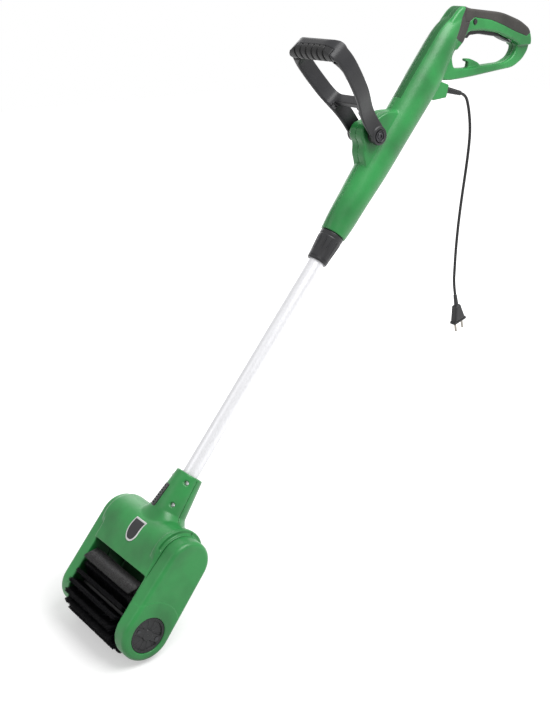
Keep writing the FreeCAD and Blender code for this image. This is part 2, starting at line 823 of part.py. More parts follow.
def straight_prism(points, low_x, high_x):
    """A polygon in the YZ plane, extruded between two places on X."""
    corners = [VECTOR(low_x, y, z) for y, z in points]
    face = Part.Face(Part.makePolygon(corners + corners[:1]))
    return face.extrude(X_DIRECTION * (high_x - low_x))


def rod_x(radius, low_x, high_x, y=0, z=0):
    """A round bar along X."""
    return Part.makeCylinder(radius, high_x - low_x, VECTOR(low_x, y, z), X_DIRECTION)


def rod_y(radius, low_y, high_y, x=0, z=0):
    """A round bar along Y."""
    return Part.makeCylinder(radius, high_y - low_y, VECTOR(x, low_y, z), VECTOR(0, 1, 0))


def rod_z(radius, low_z, high_z, x=0, y=0):
    """A round bar along Z."""
    return Part.makeCylinder(radius, high_z - low_z, VECTOR(x, y, low_z))


def block(low, high):
    """A box between two corners."""
    edges = [high[axis] - low[axis] for axis in range(3)]
    return Part.makeBox(*edges, VECTOR(*low))


def hull(low_radius, high_radius, low_x, high_x):
    """A plate about the brush and motor axles, in stick axes.

    Two arcs, one about each axle, are joined by their common tangents.
    """
    slope = math.asin((low_radius - high_radius) / size("axle_spacing"))
    behind = VECTOR(0, math.cos(slope), math.sin(slope))
    ahead = VECTOR(0, -behind.y, behind.z)
    low = VECTOR(low_x, 0, 0)
    high = VECTOR(low_x, 0, size("axle_spacing"))
    bottom = low - VECTOR(0, 0, low_radius)
    top = high + VECTOR(0, 0, high_radius)
    corners = [
        low + behind * low_radius,
        high + behind * high_radius,
        high + ahead * high_radius,
        low + ahead * low_radius,
    ]
    edges = [
        Part.LineSegment(corners[0], corners[1]).toShape(),
        Part.Arc(corners[1], top, corners[2]).toShape(),
        Part.LineSegment(corners[2], corners[3]).toShape(),
        Part.Arc(corners[3], bottom, corners[0]).toShape(),
    ]
    return Part.Face(Part.Wire(edges)).extrude(X_DIRECTION * (high_x - low_x))


def edges_at(shape, axis, place):
    """The edges of a shape that lie wholly at one place on an axis."""
    tolerance = size("running_gap")
    found = []
    for edge in shape.Edges:
        low = getattr(edge.BoundBox, axis + "Min")
        high = getattr(edge.BoundBox, axis + "Max")
        if abs(low - place) < tolerance and abs(high - place) < tolerance:
            found.append(edge)
    return found


def joined(shapes):
    """One solid out of several that overlap."""
    return shapes[0].multiFuse(shapes[1:]).removeSplitter()


# Telescopic tube, its end plug, its pin and the lead inside it

def make_tube():
    tube = turn_body("aluminium_tube", "stick", [
        ("tube_bore", "tube_bottom"),
        ("tube_radius", "tube_bottom"),
        ("tube_radius", "tube_top"),
        ("tube_bore", "tube_top"),
    ])
    cut_round(tube, "YZ_Plane", "0", "pin_height", "cross_pin_diameter / 2", "PinHole")


def make_tube_end_plug():
    turn_body("tube_end_plug", "stick", [
        ("lead_diameter / 2", "tube_top - end_plug_depth"),
        ("tube_bore", "tube_top - end_plug_depth"),
        ("tube_bore", "tube_top"),
        ("stop_radius", "tube_top"),
        ("stop_radius", "tube_top + stop_thickness"),
        ("lead_diameter / 2", "tube_top + stop_thickness"),
    ])


def make_inner_lead():
    """The lead inside the tube, from the motor to the upper housing."""
    lead = DOCUMENT.addObject("Part::Cylinder", "InnerLead")
    foot = "axle_spacing + stator_radius + moving_gap"
    lead.setExpression("Radius", formula("lead_diameter / 2"))
    lead.setExpression("Height", formula(f"tube_top + stop_thickness + lead_slack - ({foot})"))
    foot_y = f"brush_y + ({foot}) * sin(lean_angle)"
    foot_z = f"brush_z + ({foot}) * cos(lean_angle)"
    turn = "rotation(vector(1; 0; 0); -lean_angle)"
    place_text = f"placement(vector(0; {foot_y}; {foot_z}); {turn})"
    lead.setExpression("Placement", formula(place_text))
    keep(lead, "inner_lead")


def tube_pins():
    """Two pins, one through each side of the neck and the tube's wall."""
    radius = size("cross_pin_diameter / 2")
    near = size("tube_bore - tube_wall")
    far = near + size("cross_pin_length")
    height = size("pin_height")
    return [rod_x(radius, near, far, z=height), rod_x(radius, -far, -near, z=height)]


# Lock collar, collet and guide bush

def make_lock_collar():
    collar = turn_body("lock_collar", "stick", [
        ("sliding_radius + moving_gap", "collar_foot"),
        ("collar_foot_radius", "collar_foot"),
        ("collar_top_radius", "collar_top"),
        ("collar_bore", "collar_top"),
        ("collar_bore", "collar_foot + collar_lip"),
        ("sliding_radius + moving_gap", "collar_foot + collar_lip"),
    ])
    before = collar.Shape.Volume
    sketch = new_sketch(collar, "XZ_Plane", "GrooveOutline")
    low = "collar_foot + collar_groove_inset"
    high = "collar_top - collar_groove_inset"
    draw_polygon(sketch, [
        ("collar_foot_radius - collar_groove_radius / 2", low),
        ("collar_top_radius + overrun", low),
        ("collar_top_radius + overrun", high),
        ("collar_top_radius - collar_groove_radius", high),
    ])
    groove = collar.newObject("PartDesign::Pocket", "Groove")
    groove.Profile = sketch
    groove.SideType = "Symmetric"
    groove.Type = "Length"
    groove.setExpression("Length", formula("2 * collar_groove_radius"))
    DOCUMENT.recompute()
    check_volume(collar, before, "Groove")
    repeat_around(collar, groove, COLLAR_GROOVES, "Grooves")


def make_tube_collet():
    collet = turn_body("tube_collet", "stick", [
        ("sliding_radius", "collar_foot + collet_rise"),
        ("collet_radius", "collar_foot + collet_rise"),
        ("collet_radius", "flange_foot"),
        ("collet_radius + collet_flange", "flange_foot"),
        ("collet_radius + collet_flange", "flange_foot + collet_flange_thickness"),
        ("sliding_radius", "flange_foot + collet_flange_thickness"),
    ])
    low = "collar_foot"
    high = "collar_foot + collet_rise + collet_slot_length"
    slot = [
        ("-collet_slot / 2", low),
        ("collet_slot / 2", low),
        ("collet_slot / 2", high),
        ("-collet_slot / 2", high),
    ]
    cut_polygon(collet, "XZ_Plane", slot, "FrontSlot")
    cut_polygon(collet, "YZ_Plane", slot, "SideSlot")


def make_guide_bush():
    turn_body("guide_bush", "stick", [
        ("sliding_radius", "guide_foot"),
        ("guide_radius", "guide_foot"),
        ("guide_radius", "guide_foot + guide_length"),
        ("sliding_radius", "guide_foot + guide_length"),
    ])


# Upper housing: two shells, split at the middle

def section(station, half_width, half_depth, middle_y):
    """An oval across the stick."""
    matrix = FreeCAD.Matrix()
    matrix.scale(half_width, half_depth, 1)
    matrix.move(VECTOR(0, middle_y, station))
    return Part.Wire([Part.makeCircle(1).transformGeometry(matrix)])


def barrel_sections(inset):
    """The barrel's oval sections from foot to end, drawn in by a wall."""
    foot = size("housing_foot_radius") - inset
    found = [section(size("housing_foot"), foot, foot, 0)]
    for height_share, width_share, depth_share, bow_share in BARREL_SHARES:
        station = size("housing_foot") + height_share * size("housing_length")
        half_width = width_share * size("housing_half_width") - inset
        half_depth = depth_share * size("housing_half_depth") - inset
        found.append(section(station, half_width, half_depth, -bow_share * size("housing_bow")))
    return found


def barrel(inset):
    """The barrel of the upper housing, in stick axes."""
    return Part.makeLoft(barrel_sections(inset), True)


def handle_points(shares):
    """Points of the rear handle, from shares of its length and height."""
    length = size("loop_length")
    height = size("loop_height")
    return [(length * y_share, height * z_share) for y_share, z_share in shares]


def loop_prism(half_width, edge_radius):
    """The rear handle's loop with its edges rounded, in the part's axes."""
    outer = rounded_prism(handle_points(LOOP_SHARES), CORNER_SHARE, half_width)
    opening = hand_opening(half_width + size("overrun"))
    ring = outer.cut(opening)
    edges = edges_at(ring, "X", half_width) + edges_at(ring, "X", -half_width)
    return ring.makeFillet(edge_radius, edges)


def hand_opening(half_width):
    """The space for the hand, right through the loop."""
    return rounded_prism(handle_points(OPENING_SHARES), CORNER_SHARE, half_width)


def rear_loop():
    """The loop: a wide grip above and a narrower bar below."""
    grip = loop_prism(size("loop_half_width"), size("loop_edge_radius"))
    reach = size("loop_length")
    half = size("loop_half_width")
    upper = block((-half, -reach, -size("bar_drop")), (half, reach, reach))
    lower = loop_prism(size("bar_half_width"), size("bar_edge_radius"))
    return grip.common(upper).fuse(lower)


def front_boss():
    """The boss that carries the front handle, its edges rounded, in stick axes."""
    foot = size("housing_foot + pivot_station - boss_length / 2")
    length = size("boss_length")
    height = size("boss_height")
    points = [(-height * out_share, foot + length * up_share) for out_share, up_share in BOSS_SHARES]
    half = size("boss_half_width")
    boss = rounded_prism(points, CORNER_SHARE, half)
    edges = edges_at(boss, "X", half) + edges_at(boss, "X", -half)
    return boss.makeFillet(size("boss_edge_radius"), edges)


def exit_face():
    """The two corners of the cord outlet's face, lower one first."""
    lower, upper = handle_points(OUTLET_SHARES[EXIT_CORNERS])
    return VECTOR(0, *lower), VECTOR(0, *upper)


def exit_direction():
    """Square to the outlet's face, pointing out of it."""
    lower, upper = exit_face()
    return (upper - lower).cross(X_DIRECTION).normalize()


def exit_point():
    """The middle of the outlet's face."""
    lower, upper = exit_face()
    return (lower + upper) / 2


def cord_points():
    """The cord's route in the part's axes."""
    tip = exit_point() + exit_direction() * size("relief_length")
    return [tip + VECTOR(0, y, z) for y, z in CORD_ROUTE]


def rod_along(radius, start, direction, length):
    """A round bar from a point along a direction."""
    return Part.makeCylinder(radius, length, start, direction)


def cord_outlet():
    """The outlet that the cord leaves by, in the part's axes."""
    half = size("nozzle_half_width")
    return straight_prism(handle_points(OUTLET_SHARES), -half, half)


def outlet_cuts():
    """The stepped bore for the strain relief, and the way in for the cord."""
    start = exit_point()
    inward = exit_direction() * -1
    gap = size("running_gap")
    stem = size("relief_stem_length")
    collar = size("relief_collar_length")
    outside = start - inward * size("overrun")
    way_in = size("supply_diameter / 2 + moving_gap")
    return [
        rod_along(size("relief_stem_radius") + gap, outside, inward, size("overrun") + stem),
        rod_along(size("relief_collar_radius") + gap, start + inward * stem, inward, collar + gap),
        rod_along(way_in, start + inward * stem, inward, size("supply_bore_length")),
    ]


def grip_hollow():
    """The hollow in the grip, for switch and trigger."""
    half = size("grip_cavity_half_width")
    return straight_prism(handle_points(GRIP_HOLLOW_SHARES), -half, half)


def trigger_slot():
    """The slot under the grip that the trigger comes through."""
    gap = size("moving_gap")
    half = size("trigger_half_width") + gap
    points = handle_points(TRIGGER_SHARES)
    low_y = min(y for y, z in points) - gap
    high_y = points[TRIGGER_HEEL][0] + gap
    low_z = min(z for y, z in points) - size("overrun")
    return block((-half, low_y, low_z), (half, high_y, 0))


def housing_screw_places():
    """Where screws join the two shells: y and z in the part's axes."""
    places = handle_points(LOOP_SCREW_SHARES)
    turn = frame_placement("stick")
    on_stick = [(size("post_setback"), share * size("housing_length")) for share in STICK_SCREW_SHARES]
    on_stick += [(size(out), size(along)) for out, along in BOSS_SCREWS]
    for out, along in on_stick:
        spot = turn.multVec(VECTOR(0, out, size("housing_foot") + along))
        places.append((spot.y, spot.z))
    return places


def housing_screws():
    """Case screws from the right, with their heads sunk."""
    screws = []
    for y, z in housing_screw_places():
        head = size("screw_head_height")
        seat = -size("screw_seat")
        shank = rod_x(size("screw_radius"), seat, size("screw_reach"), y, z)
        screws.append(shank.fuse(rod_x(size("screw_head_radius"), seat - head, seat, y, z)))
    return screws


def housing_posts():
    """Posts around the screws."""
    reach = size("housing_half_width")
    radius = size("screw_post_radius")
    return [rod_x(radius, -reach, reach, y, z) for y, z in housing_screw_places()]


def housing_screw_cuts():
    """Screw bores, with a wider way in for the heads."""
    cuts = []
    gap = size("running_gap")
    for y, z in housing_screw_places():
        seat = -size("screw_seat")
        far = -size("housing_half_width + overrun")
        cuts.append(rod_x(size("screw_radius") + gap, seat - gap, size("screw_reach") + gap, y, z))
        cuts.append(rod_x(size("screw_head_radius") + size("moving_gap"), far, seat, y, z))
    return cuts


def barrel_hollow():
    """The hollow of the barrel above its solid foot, around the guide bush's rib."""
    half = size("housing_half_width + overrun")
    depth = size("boss_height")
    low = size("flange_foot")
    high = size("hollow_top")
    hollow = barrel(size("shell_wall")).common(block((-half, -depth, low), (half, depth, high)))
    rib_low = size("rib_foot")
    rib = block((-half, -depth, rib_low), (half, depth, rib_low + size("rib_thickness")))
    return hollow.cut(rib)


def barrel_bores():
    """Bores in the foot and the rib, and the front handle's bolt hole, in stick axes."""
    gap = size("running_gap")
    overrun = size("overrun")
    foot = size("housing_foot")
    rib = size("rib_foot")
    half = size("boss_half_width") + overrun
    bolt_radius = size("bolt_diameter / 2") + gap
    bolt_y = -size("pivot_stand_off")
    seat = size("flange_foot")
    return [
        rod_z(size("collet_radius"), foot - overrun, seat + overrun),
        rod_z(size("collet_radius + collet_flange"), seat, seat + size("collet_flange_thickness") + gap),
        rod_z(size("guide_radius"), rib - overrun, rib + size("rib_thickness") + overrun),
        rod_x(bolt_radius, -half, half, bolt_y, size("bolt_station")),
    ]


def overlay_prism():
    """Everything above the lower edge of the soft grip strip."""
    half = size("loop_half_width + overrun")
    return straight_prism(handle_points(OVERLAY_SHARES), -half, half)


def overlay_core():
    """The loop below the soft strip: the same outline, drawn in by the strip."""
    depth = size("overlay_thickness")
    half = size("loop_half_width") - depth
    wire, _ = rounded_wire([VECTOR(-half, y, z) for y, z in handle_points(LOOP_SHARES)],
                           CORNER_SHARE, True)
    inner = Part.Face(wire.makeOffset2D(-depth))
    return inner.extrude(X_DIRECTION * (2 * half))


def make_housing():
    """The two shells and the soft strip on the grip."""
    overlay_space = overlay_prism().cut(overlay_core())
    overlay = loop_prism(size("loop_half_width"), size("loop_edge_radius")).common(overlay_space)
    stick_parts = [barrel(0), front_boss()]
    outer = joined([in_frame(item, "stick", "part") for item in stick_parts]
                   + [rear_loop(), cord_outlet(), cord_hook()])
    outer = outer.cut(hand_opening(size("housing_half_width + overrun")).cut(cord_hook()))
    hollow = [in_frame(barrel_hollow(), "stick", "part"), grip_hollow()]
    hollow = [space.cut(Part.Compound(housing_posts())) for space in hollow]
    cuts = hollow + [in_frame(item, "stick", "part") for item in barrel_bores()]
    cuts += outlet_cuts() + housing_screw_cuts() + [trigger_slot(), button_hole(), pin_hole()]
    shell = outer.cut(overlay_space).cut(cuts)
    reach = size("grip_station")
    left = block((0, -reach, -reach), (reach, reach, reach))
    right = block((-reach, -reach, -reach), (0, reach, reach))
    shape_node("housing_left_shell", "part", one_solid(shell.common(left)))
    shape_node("housing_right_shell", "part", one_solid(shell.common(right)))
    shape_node("grip_overlay", "part", one_solid(overlay))
    shape_node("housing_screws", "part", Part.Compound(housing_screws()))


def one_solid(shape):
    """The largest solid of a cut, without loose slivers."""
    return max(shape.Solids, key=lambda solid: solid.Volume)


def cord_hook():
    """The hook on the lower bar that a loop of cord hangs on."""
    half = size("hook_width / 2")
    return straight_prism(handle_points(HOOK_SHARES), -half, half)


def button_axis():
    """Where the lock button slides: y and z."""
    return -size("button_forward"), size("button_rise")


def button_hole():
    y, z = button_axis()
    radius = size("button_radius + running_gap")
    return rod_x(radius, 0, size("loop_half_width + overrun"), y, z)


def pin_hole():
    radius = size("trigger_pin_diameter / 2 + running_gap")
    half = size("grip_cavity_half_width + shell_wall / 2 + running_gap")
    return rod_x(radius, -half, half, size("trigger_pin_back"), -size("trigger_pin_drop"))


# Trigger, lock button and switch

def make_trigger():
    """The long trigger under the grip, hinged behind the hand."""
    half = size("trigger_half_width")
    back = size("trigger_pin_back")
    drop = -size("trigger_pin_drop")
    blade = straight_prism(handle_points(TRIGGER_SHARES), -half, half)
    bore = rod_x(size("trigger_pin_diameter / 2 + running_gap"), -half, half, back, drop)
    shape_node("trigger", "part", blade.cut(bore))
    pin_half = size("grip_cavity_half_width + shell_wall / 2")
    pin_radius = size("trigger_pin_diameter / 2")
    pin = rod_x(pin_radius, -pin_half, pin_half, back, drop)
    shape_node("trigger_pin", "part", pin)
    spring_start = half + size("moving_gap")
    spring_end = size("grip_cavity_half_width")
    sleeve = rod_x(pin_radius + size("spring_wall"), spring_start, spring_end, back, drop)
    shape_node("trigger_spring", "part", sleeve.cut(pin))


def make_lock_button():
    """The button that frees the trigger, and its spring."""
    y, z = button_axis()
    face = size("loop_half_width + button_proud")
    flange_out = size("grip_cavity_half_width")
    flange_in = flange_out - size("button_flange_thickness")
    button = rod_x(size("button_radius"), flange_in, face, y, z)
    crown = edges_at(button, "X", face)
    button = button.makeFillet(size("button_proud / 2"), crown)
    button = button.fuse(rod_x(size("button_flange_radius"), flange_in, flange_out, y, z))
    shape_node("lock_button", "part", button)
    spring_end = flange_in - size("button_travel + moving_gap")
    spring = rod_x(size("button_radius - moving_gap"), -flange_out, spring_end, y, z)
    hollow = rod_x(size("button_radius - moving_gap - spring_wall"), -flange_out, spring_end, y, z)
    shape_node("lock_spring", "part", spring.cut(hollow))


def make_switch():
    half = size("grip_cavity_half_width")
    middle_y = -size("switch_forward")
    middle_z = size("switch_rise")
    half_length = size("switch_length / 2")
    half_height = size("switch_height / 2")
    case = block((-half, middle_y - half_length, middle_z - half_height),
                 (half, middle_y + half_length, middle_z + half_height))
    shape_node("trigger_switch", "part", case)


def make_capacitor():
    """The suppression capacitor, held against the front of the barrel."""
    height_share, width_share, depth_share, bow_share = BARREL_SHARES[CAPACITOR_ROW]
    wall = size("shell_wall")
    half_length = size("capacitor_length / 2")
    half_width = width_share * size("housing_half_width") - wall
    half_depth = depth_share * size("housing_half_depth") - wall
    inside = math.sqrt(1 - (half_length / half_width) ** 2) * half_depth
    radius = size("capacitor_diameter / 2")
    y = -bow_share * size("housing_bow") - inside + radius + size("moving_gap")
    z = size("housing_foot") + height_share * size("housing_length")
    can = rod_x(radius, -half_length, half_length, y, z)
    shape_node("capacitor", "stick", can)


# Mains cord, strain relief and plug

def tube_along(points, radius, reach_share):
    """A round tube along straight runs joined by tangent arcs, with its arcs' radii."""
    path, radii = rounded_wire(points, reach_share, False)
    start = (points[1] - points[0]).normalize()
    ring = Part.Wire([Part.makeCircle(radius, points[0], start)])
    tube = path.makePipeShell([ring], True, False)
    expected = math.pi * radius ** 2 * path.Length
    if abs(tube.Volume - expected) > expected * VOLUME_SLACK_SHARE:
        raise RuntimeError("A swept tube has the wrong volume")
    return tube, radii, path.Length


def make_cord():
    """The mains cord from its strain relief to the plug."""
    tube, radii, length = tube_along(cord_points(), size("cord_diameter / 2"), ARC_REACH_SHARE)
    print("power_cord length", round(length, 1), "radii", [round(radius, 1) for radius in radii])
    shape_node("power_cord", "part", tube)


def make_cord_gland():
    """The strain relief: a tapered sleeve with a stem and a collar inside the outlet."""
    start = exit_point()
    outward = exit_direction()
    stem = size("relief_stem_length")
    collar = size("relief_collar_length")
    sleeve = Part.makeCone(size("relief_root_radius"), size("relief_tip_radius"),
                           size("relief_length"), start, outward)
    shank = rod_along(size("relief_stem_radius"), start - outward * stem, outward, stem)
    flange_start = start - outward * (stem + collar)
    flange = rod_along(size("relief_collar_radius"), flange_start, outward, collar)
    shape_node("cord_gland", "part", joined([sleeve, shank, flange]))


def make_supply_lead():
    """The cord's run inside the housing, from the strain relief to the switch."""
    inward = exit_direction() * -1
    start = exit_point() + inward * size("relief_stem_length + relief_collar_length")
    first = start + inward * size("supply_run")
    switch_face = -size("switch_forward + switch_length / 2")
    bends = [VECTOR(0, y, z) for y, z in handle_points(SUPPLY_SHARES)]
    rise = size("switch_rise")
    last = VECTOR(0, switch_face - size("supply_end_run"), rise)
    end = VECTOR(0, switch_face, rise)
    tube, _, _ = tube_along([start, first] + bends + [last, end], size("supply_diameter / 2"),
                            ARC_REACH_SHARE)
    shape_node("supply_lead", "part", tube)


def plug_placement():
    """The plug hangs on the cord's end: its z runs on from the cord."""
    before, end = cord_points()[-2:]
    return FreeCAD.Placement(end, FreeCAD.Rotation(VECTOR(0, 0, 1), end - before))


def make_plug():
    """The moulded plug with its strain relief and flange, and its two pins."""
    relief = size("plug_relief_length")
    end = relief + size("plug_body_length")
    flange_foot = end - size("plug_flange_thickness")
    neck = size("plug_neck_width / 2")
    width = size("plug_width / 2")
    depth = size("plug_thickness / 2")
    sleeve = Part.makeCone(size("plug_relief_tip_radius"), size("plug_relief_radius"), relief)
    wedge = [(-neck, relief), (neck, relief), (width, flange_foot), (-width, flange_foot)]
    grip = straight_prism(wedge, -depth, depth)
    grip = grip.makeFillet(depth / 2, edges_at(grip, "X", depth) + edges_at(grip, "X", -depth))
    flange_half = size("plug_flange_width / 2")
    flange = block((-depth, -flange_half, flange_foot), (depth, flange_half, end))
    upright = [edge for edge in flange.Edges if edge.BoundBox.ZLength > (end - flange_foot) / 2]
    flange = flange.makeFillet(depth / 2, upright)
    body = joined([sleeve, grip, flange])
    radius = size("plug_pin_diameter / 2")
    offset = size("plug_pin_spacing / 2")
    pins = [rod_z(radius, end, end + size("plug_pin_length"), y=side * offset) for side in SIDES]
    placed_node("plug_body", plug_placement(), body)
    placed_node("plug_pins", plug_placement(), Part.Compound(pins))


# Front handle on its bolt

def flat_prism(points, reach_share, half_depth):
    """A closed outline in the XZ plane with rounded corners, even about that plane."""
    wire, _ = rounded_wire([VECTOR(x, -half_depth, z) for x, z in points], reach_share, True)
    return Part.Face(wire).extrude(VECTOR(0, 2 * half_depth, 0))


def mirrored_points(right_side):
    """An outline from its right half, top first, completed by its mirror image."""
    return right_side + [(-x, z) for x, z in reversed(right_side)]


def handle_side(width_shares):
    """Points of the front handle's right side, from shares of its half width and reach."""
    half = size("front_half_width")
    reach = size("front_top")
    return [(half * width, reach * height) for width, height in width_shares]


def front_outline(half_depth):
    """A plate of the front handle's outer form."""
    return flat_prism(mirrored_points(handle_side(FRONT_OUTER_SHARES)), CORNER_SHARE, half_depth)


def grip_bar(swell):
    """The round grip bar across the front handle, larger all round by a swell."""
    half_breadth = size("front_grip_breadth / 2") + swell
    low = size("grip_floor") - swell
    high = size("front_top") + swell
    half_length = size("front_grip_half_length")
    bar = block((-half_length, -half_breadth, low), (half_length, half_breadth, high))
    long_edges = [edge for edge in bar.Edges if edge.BoundBox.XLength > half_length]
    bar = bar.makeFillet(size("front_grip_radius") + swell, long_edges)
    return bar.common(front_outline(half_breadth + size("overrun")))


def make_front_handle():
    """The bail: two legs with eyes, a crossbar and a round grip with a ribbed insert."""
    near = size("eye_inner")
    far = size("eye_outer")
    recess = far - size("eye_recess_depth")
    bolt_radius = size("bolt_diameter / 2 + running_gap")
    eyes = []
    insert = front_insert()
    cuts = [insert.copy()]
    for side in SIDES:
        low, high = sorted((side * near, side * far))
        eyes.append(rod_x(size("eye_radius"), low, high))
        cuts.append(rod_x(bolt_radius, low, high))
        low, high = sorted((side * recess, side * far))
        cuts.append(rod_x(size("eye_recess_radius"), low, high))
    handle = joined([front_frame(), grip_bar(0)] + eyes).cut(cuts)
    shape_node("front_handle", "pivot", one_solid(handle))
    shape_node("front_grip_insert", "pivot", one_solid(insert.cut(insert_grooves())))


def front_frame():
    """The flat frame: legs and crossbar, with rounded edges and a gap for the round grip."""
    half_depth = size("front_breadth / 2")
    deeper = half_depth + size("overrun")
    outer = front_outline(half_depth)
    window = flat_prism(mirrored_points(front_window()), CORNER_SHARE, deeper)
    crotch = flat_prism(mirrored_points(front_crotch()), CORNER_SHARE, deeper)
    frame = outer.cut([window, crotch])
    edges = edges_at(frame, "Y", half_depth) + edges_at(frame, "Y", -half_depth)
    frame = frame.makeFillet(size("front_edge_radius"), edges)
    half_grip = size("front_grip_half_length")
    grip_space = block((-half_grip, -deeper, size("grip_floor")),
                       (half_grip, deeper, size("front_top + overrun")))
    frame = frame.cut([grip_space, crossbar_step()])
    frame.translate(VECTOR(0, size("front_setback"), 0))
    return frame


def crossbar_step():
    """The space in front of the crossbar, between the legs."""
    low = -size("front_breadth / 2 + overrun")
    high = size("crossbar_setback - front_breadth / 2")
    outline = mirrored_points([front_window()[-1], front_crotch()[0]])
    corners = [VECTOR(x, low, z) for x, z in outline]
    face = Part.Face(Part.makePolygon(corners + corners[:1]))
    return face.extrude(VECTOR(0, high - low, 0))


def front_window():
    """The hand space of the front handle, right side, from the grip to the crossbar."""
    top = size("grip_floor")
    bottom = size("crossbar_station + crossbar_depth / 2")
    half = size("front_half_width")
    strap = size("front_strap")
    points = []
    for width_share, height_share in WINDOW_SHARES:
        points.append((half * width_share - strap, bottom + (top - bottom) * height_share))
    return points


def front_crotch():
    """The space between the legs below the crossbar, open at the bolt, right side."""
    top = size("crossbar_station - crossbar_depth / 2")
    near = size("eye_inner")
    half = size("front_half_width")
    strap = size("front_strap")
    points = []
    for width_share, height_share in CROTCH_SHARES:
        points.append((half * width_share - strap, top * height_share))
    points.append((near, top * CROTCH_NECK_SHARE))
    points.append((near, -size("eye_radius + overrun")))
    return points


def front_insert():
    """The ribbed front half of the grip bar, just proud of it."""
    half = size("insert_length / 2")
    breadth = size("front_grip_breadth")
    low = size("grip_floor - overrun")
    high = size("front_top + overrun")
    slab = block((-half, -breadth, low), (half, -size("insert_setback"), high))
    return grip_bar(size("moving_gap")).common(slab)


def insert_grooves():
    """Grooves round the insert, between its ribs, all of one depth."""
    pitch = size("insert_length") / INSERT_RIBS
    half = size("insert_groove / 2")
    breadth = size("front_grip_breadth")
    low = size("grip_floor - overrun")
    high = size("front_top + overrun")
    core = grip_bar(-size("insert_groove_depth"))
    grooves = []
    for index in range(1, INSERT_RIBS):
        middle = pitch * index - size("insert_length / 2")
        slice_through = block((middle - half, -breadth, low), (middle + half, 0, high))
        grooves.append(slice_through.cut(core))
    return grooves


def hexagon_prism(across_flats, low_x, high_x):
    """A six sided head or nut along X."""
    radius = across_flats / math.sqrt(3)
    turns = [math.radians(FULL_TURN * index / HEXAGON_SIDES) for index in range(HEXAGON_SIDES)]
    points = [(radius * math.cos(turn), radius * math.sin(turn)) for turn in turns]
    return straight_prism(points, low_x, high_x)


def make_pivot_bolt():
    """The bolt through boss and eyes, and its nut."""
    seat = size("eye_outer - eye_recess_depth")
    head = size("bolt_head_height")
    width = size("bolt_head_width")
    shank = rod_x(size("bolt_diameter / 2"), -seat - head, seat)
    shape_node("pivot_bolt", "pivot", shank.fuse(hexagon_prism(width, seat, seat + head)))
    nut = hexagon_prism(width, -seat - head, -seat)
    shape_node("pivot_nut", "pivot", nut.cut(shank))


def make_detent_discs():
    """Discs on both sides of the boss that the eyes turn against."""
    near = size("boss_half_width")
    far = near + size("disc_thickness")
    discs = []
    for side in SIDES:
        low, high = sorted((side * near, side * far))
        disc = rod_x(size("disc_radius"), low, high)
        discs.append(disc.cut(rod_x(size("bolt_diameter / 2 + running_gap"), low, high)))
    shape_node("detent_discs", "pivot", Part.Compound(discs))


# Brush head: front and rear shells, belt cover and axle cap

def neck_surface(swell):
    """The tapered neck, larger all round by a swell."""
    return Part.makeCone(size("neck_foot_radius") + swell, size("neck_top_radius") + swell,
                         size("neck_length"), VECTOR(0, 0, size("neck_foot")))


def shoulder():
    """The soft blend from the motor barrel into the neck."""
    foot = size("shoulder_foot")
    radius = size("barrel_radius")
    half_depth = math.sqrt(radius ** 2 - (foot - size("axle_spacing")) ** 2)
    top = size("neck_foot + shoulder_blend")
    taper = size("shoulder_blend / neck_length")
    top_radius = size("neck_foot_radius") * (1 - taper) + size("neck_top_radius") * taper
    middle_width = (size("shoulder_half_width") + top_radius) / 2 * SHOULDER_WAIST_SHARE
    middle_depth = (half_depth + top_radius) / 2
    middle = foot + (top - foot) / 2
    wires = [
        section(foot, size("shoulder_half_width"), half_depth, 0),
        section(middle, middle_width, middle_depth, 0),
        section(top, top_radius, top_radius, 0),
    ]
    return Part.makeLoft(wires, True)


def lip(side, reach, drop):
    """A skirt from the barrel down over the brush, between the arms."""
    half = size("mouth_half_width + plate_thickness / 2")
    wall = size("shell_wall")
    axle = size("axle_spacing")
    radius = size("barrel_radius")
    outer = [(side * radius, axle), (side * reach, axle - drop)]
    inner = [(side * (reach - wall), axle - drop), (side * (radius - wall), axle)]
    return straight_prism(outer + inner, -half, half)


def head_outer():
    """The outer form of the head without its belt cover, in stick axes."""
    axle = size("axle_spacing")
    arm = size("arm_radius")
    half = size("head_half_width")
    mouth = size("mouth_half_width")
    edge = size("arm_edge_radius")
    left_arm = hull(arm, arm, -half, -mouth)
    left_arm = left_arm.makeFillet(edge, edges_at(left_arm, "X", -half))
    body = rod_x(size("barrel_radius"), -size("barrel_reach"), size("barrel_end"), z=axle)
    body = body.makeFillet(edge, edges_at(body, "X", -size("barrel_reach")))
    rim = rod_x(size("rim_radius"), size("barrel_end"), mouth, z=axle)
    plate = hull(arm, arm, mouth, size("belt_case_wall"))
    seats = [
        rod_x(size("seat_radius"), mouth, size("bearing_end")),
        lip(-1, size("front_lip_reach"), size("front_lip_drop")),
        lip(1, size("rear_lip_reach"), size("rear_lip_drop")),
    ]
    return joined([left_arm, body, rim, plate, shoulder(), neck_surface(0)] + seats)


def motor_hollow():
    """The motor's space in the barrel, around the ribs that hold the stator."""
    half = size("motor_bearing_start")
    axle = size("axle_spacing")
    bore = size("barrel_bore")
    space = rod_x(bore, -half, half, z=axle)
    ribs = []
    for side in SIDES:
        middle = side * size("stack_half_length - rib_thickness")
        low = middle - size("rib_thickness / 2")
        high = middle + size("rib_thickness / 2")
        ring = rod_x(bore, low, high, z=axle).cut(rod_x(size("stator_radius"), low, high, z=axle))
        ribs.append(ring)
    return space.cut(ribs)


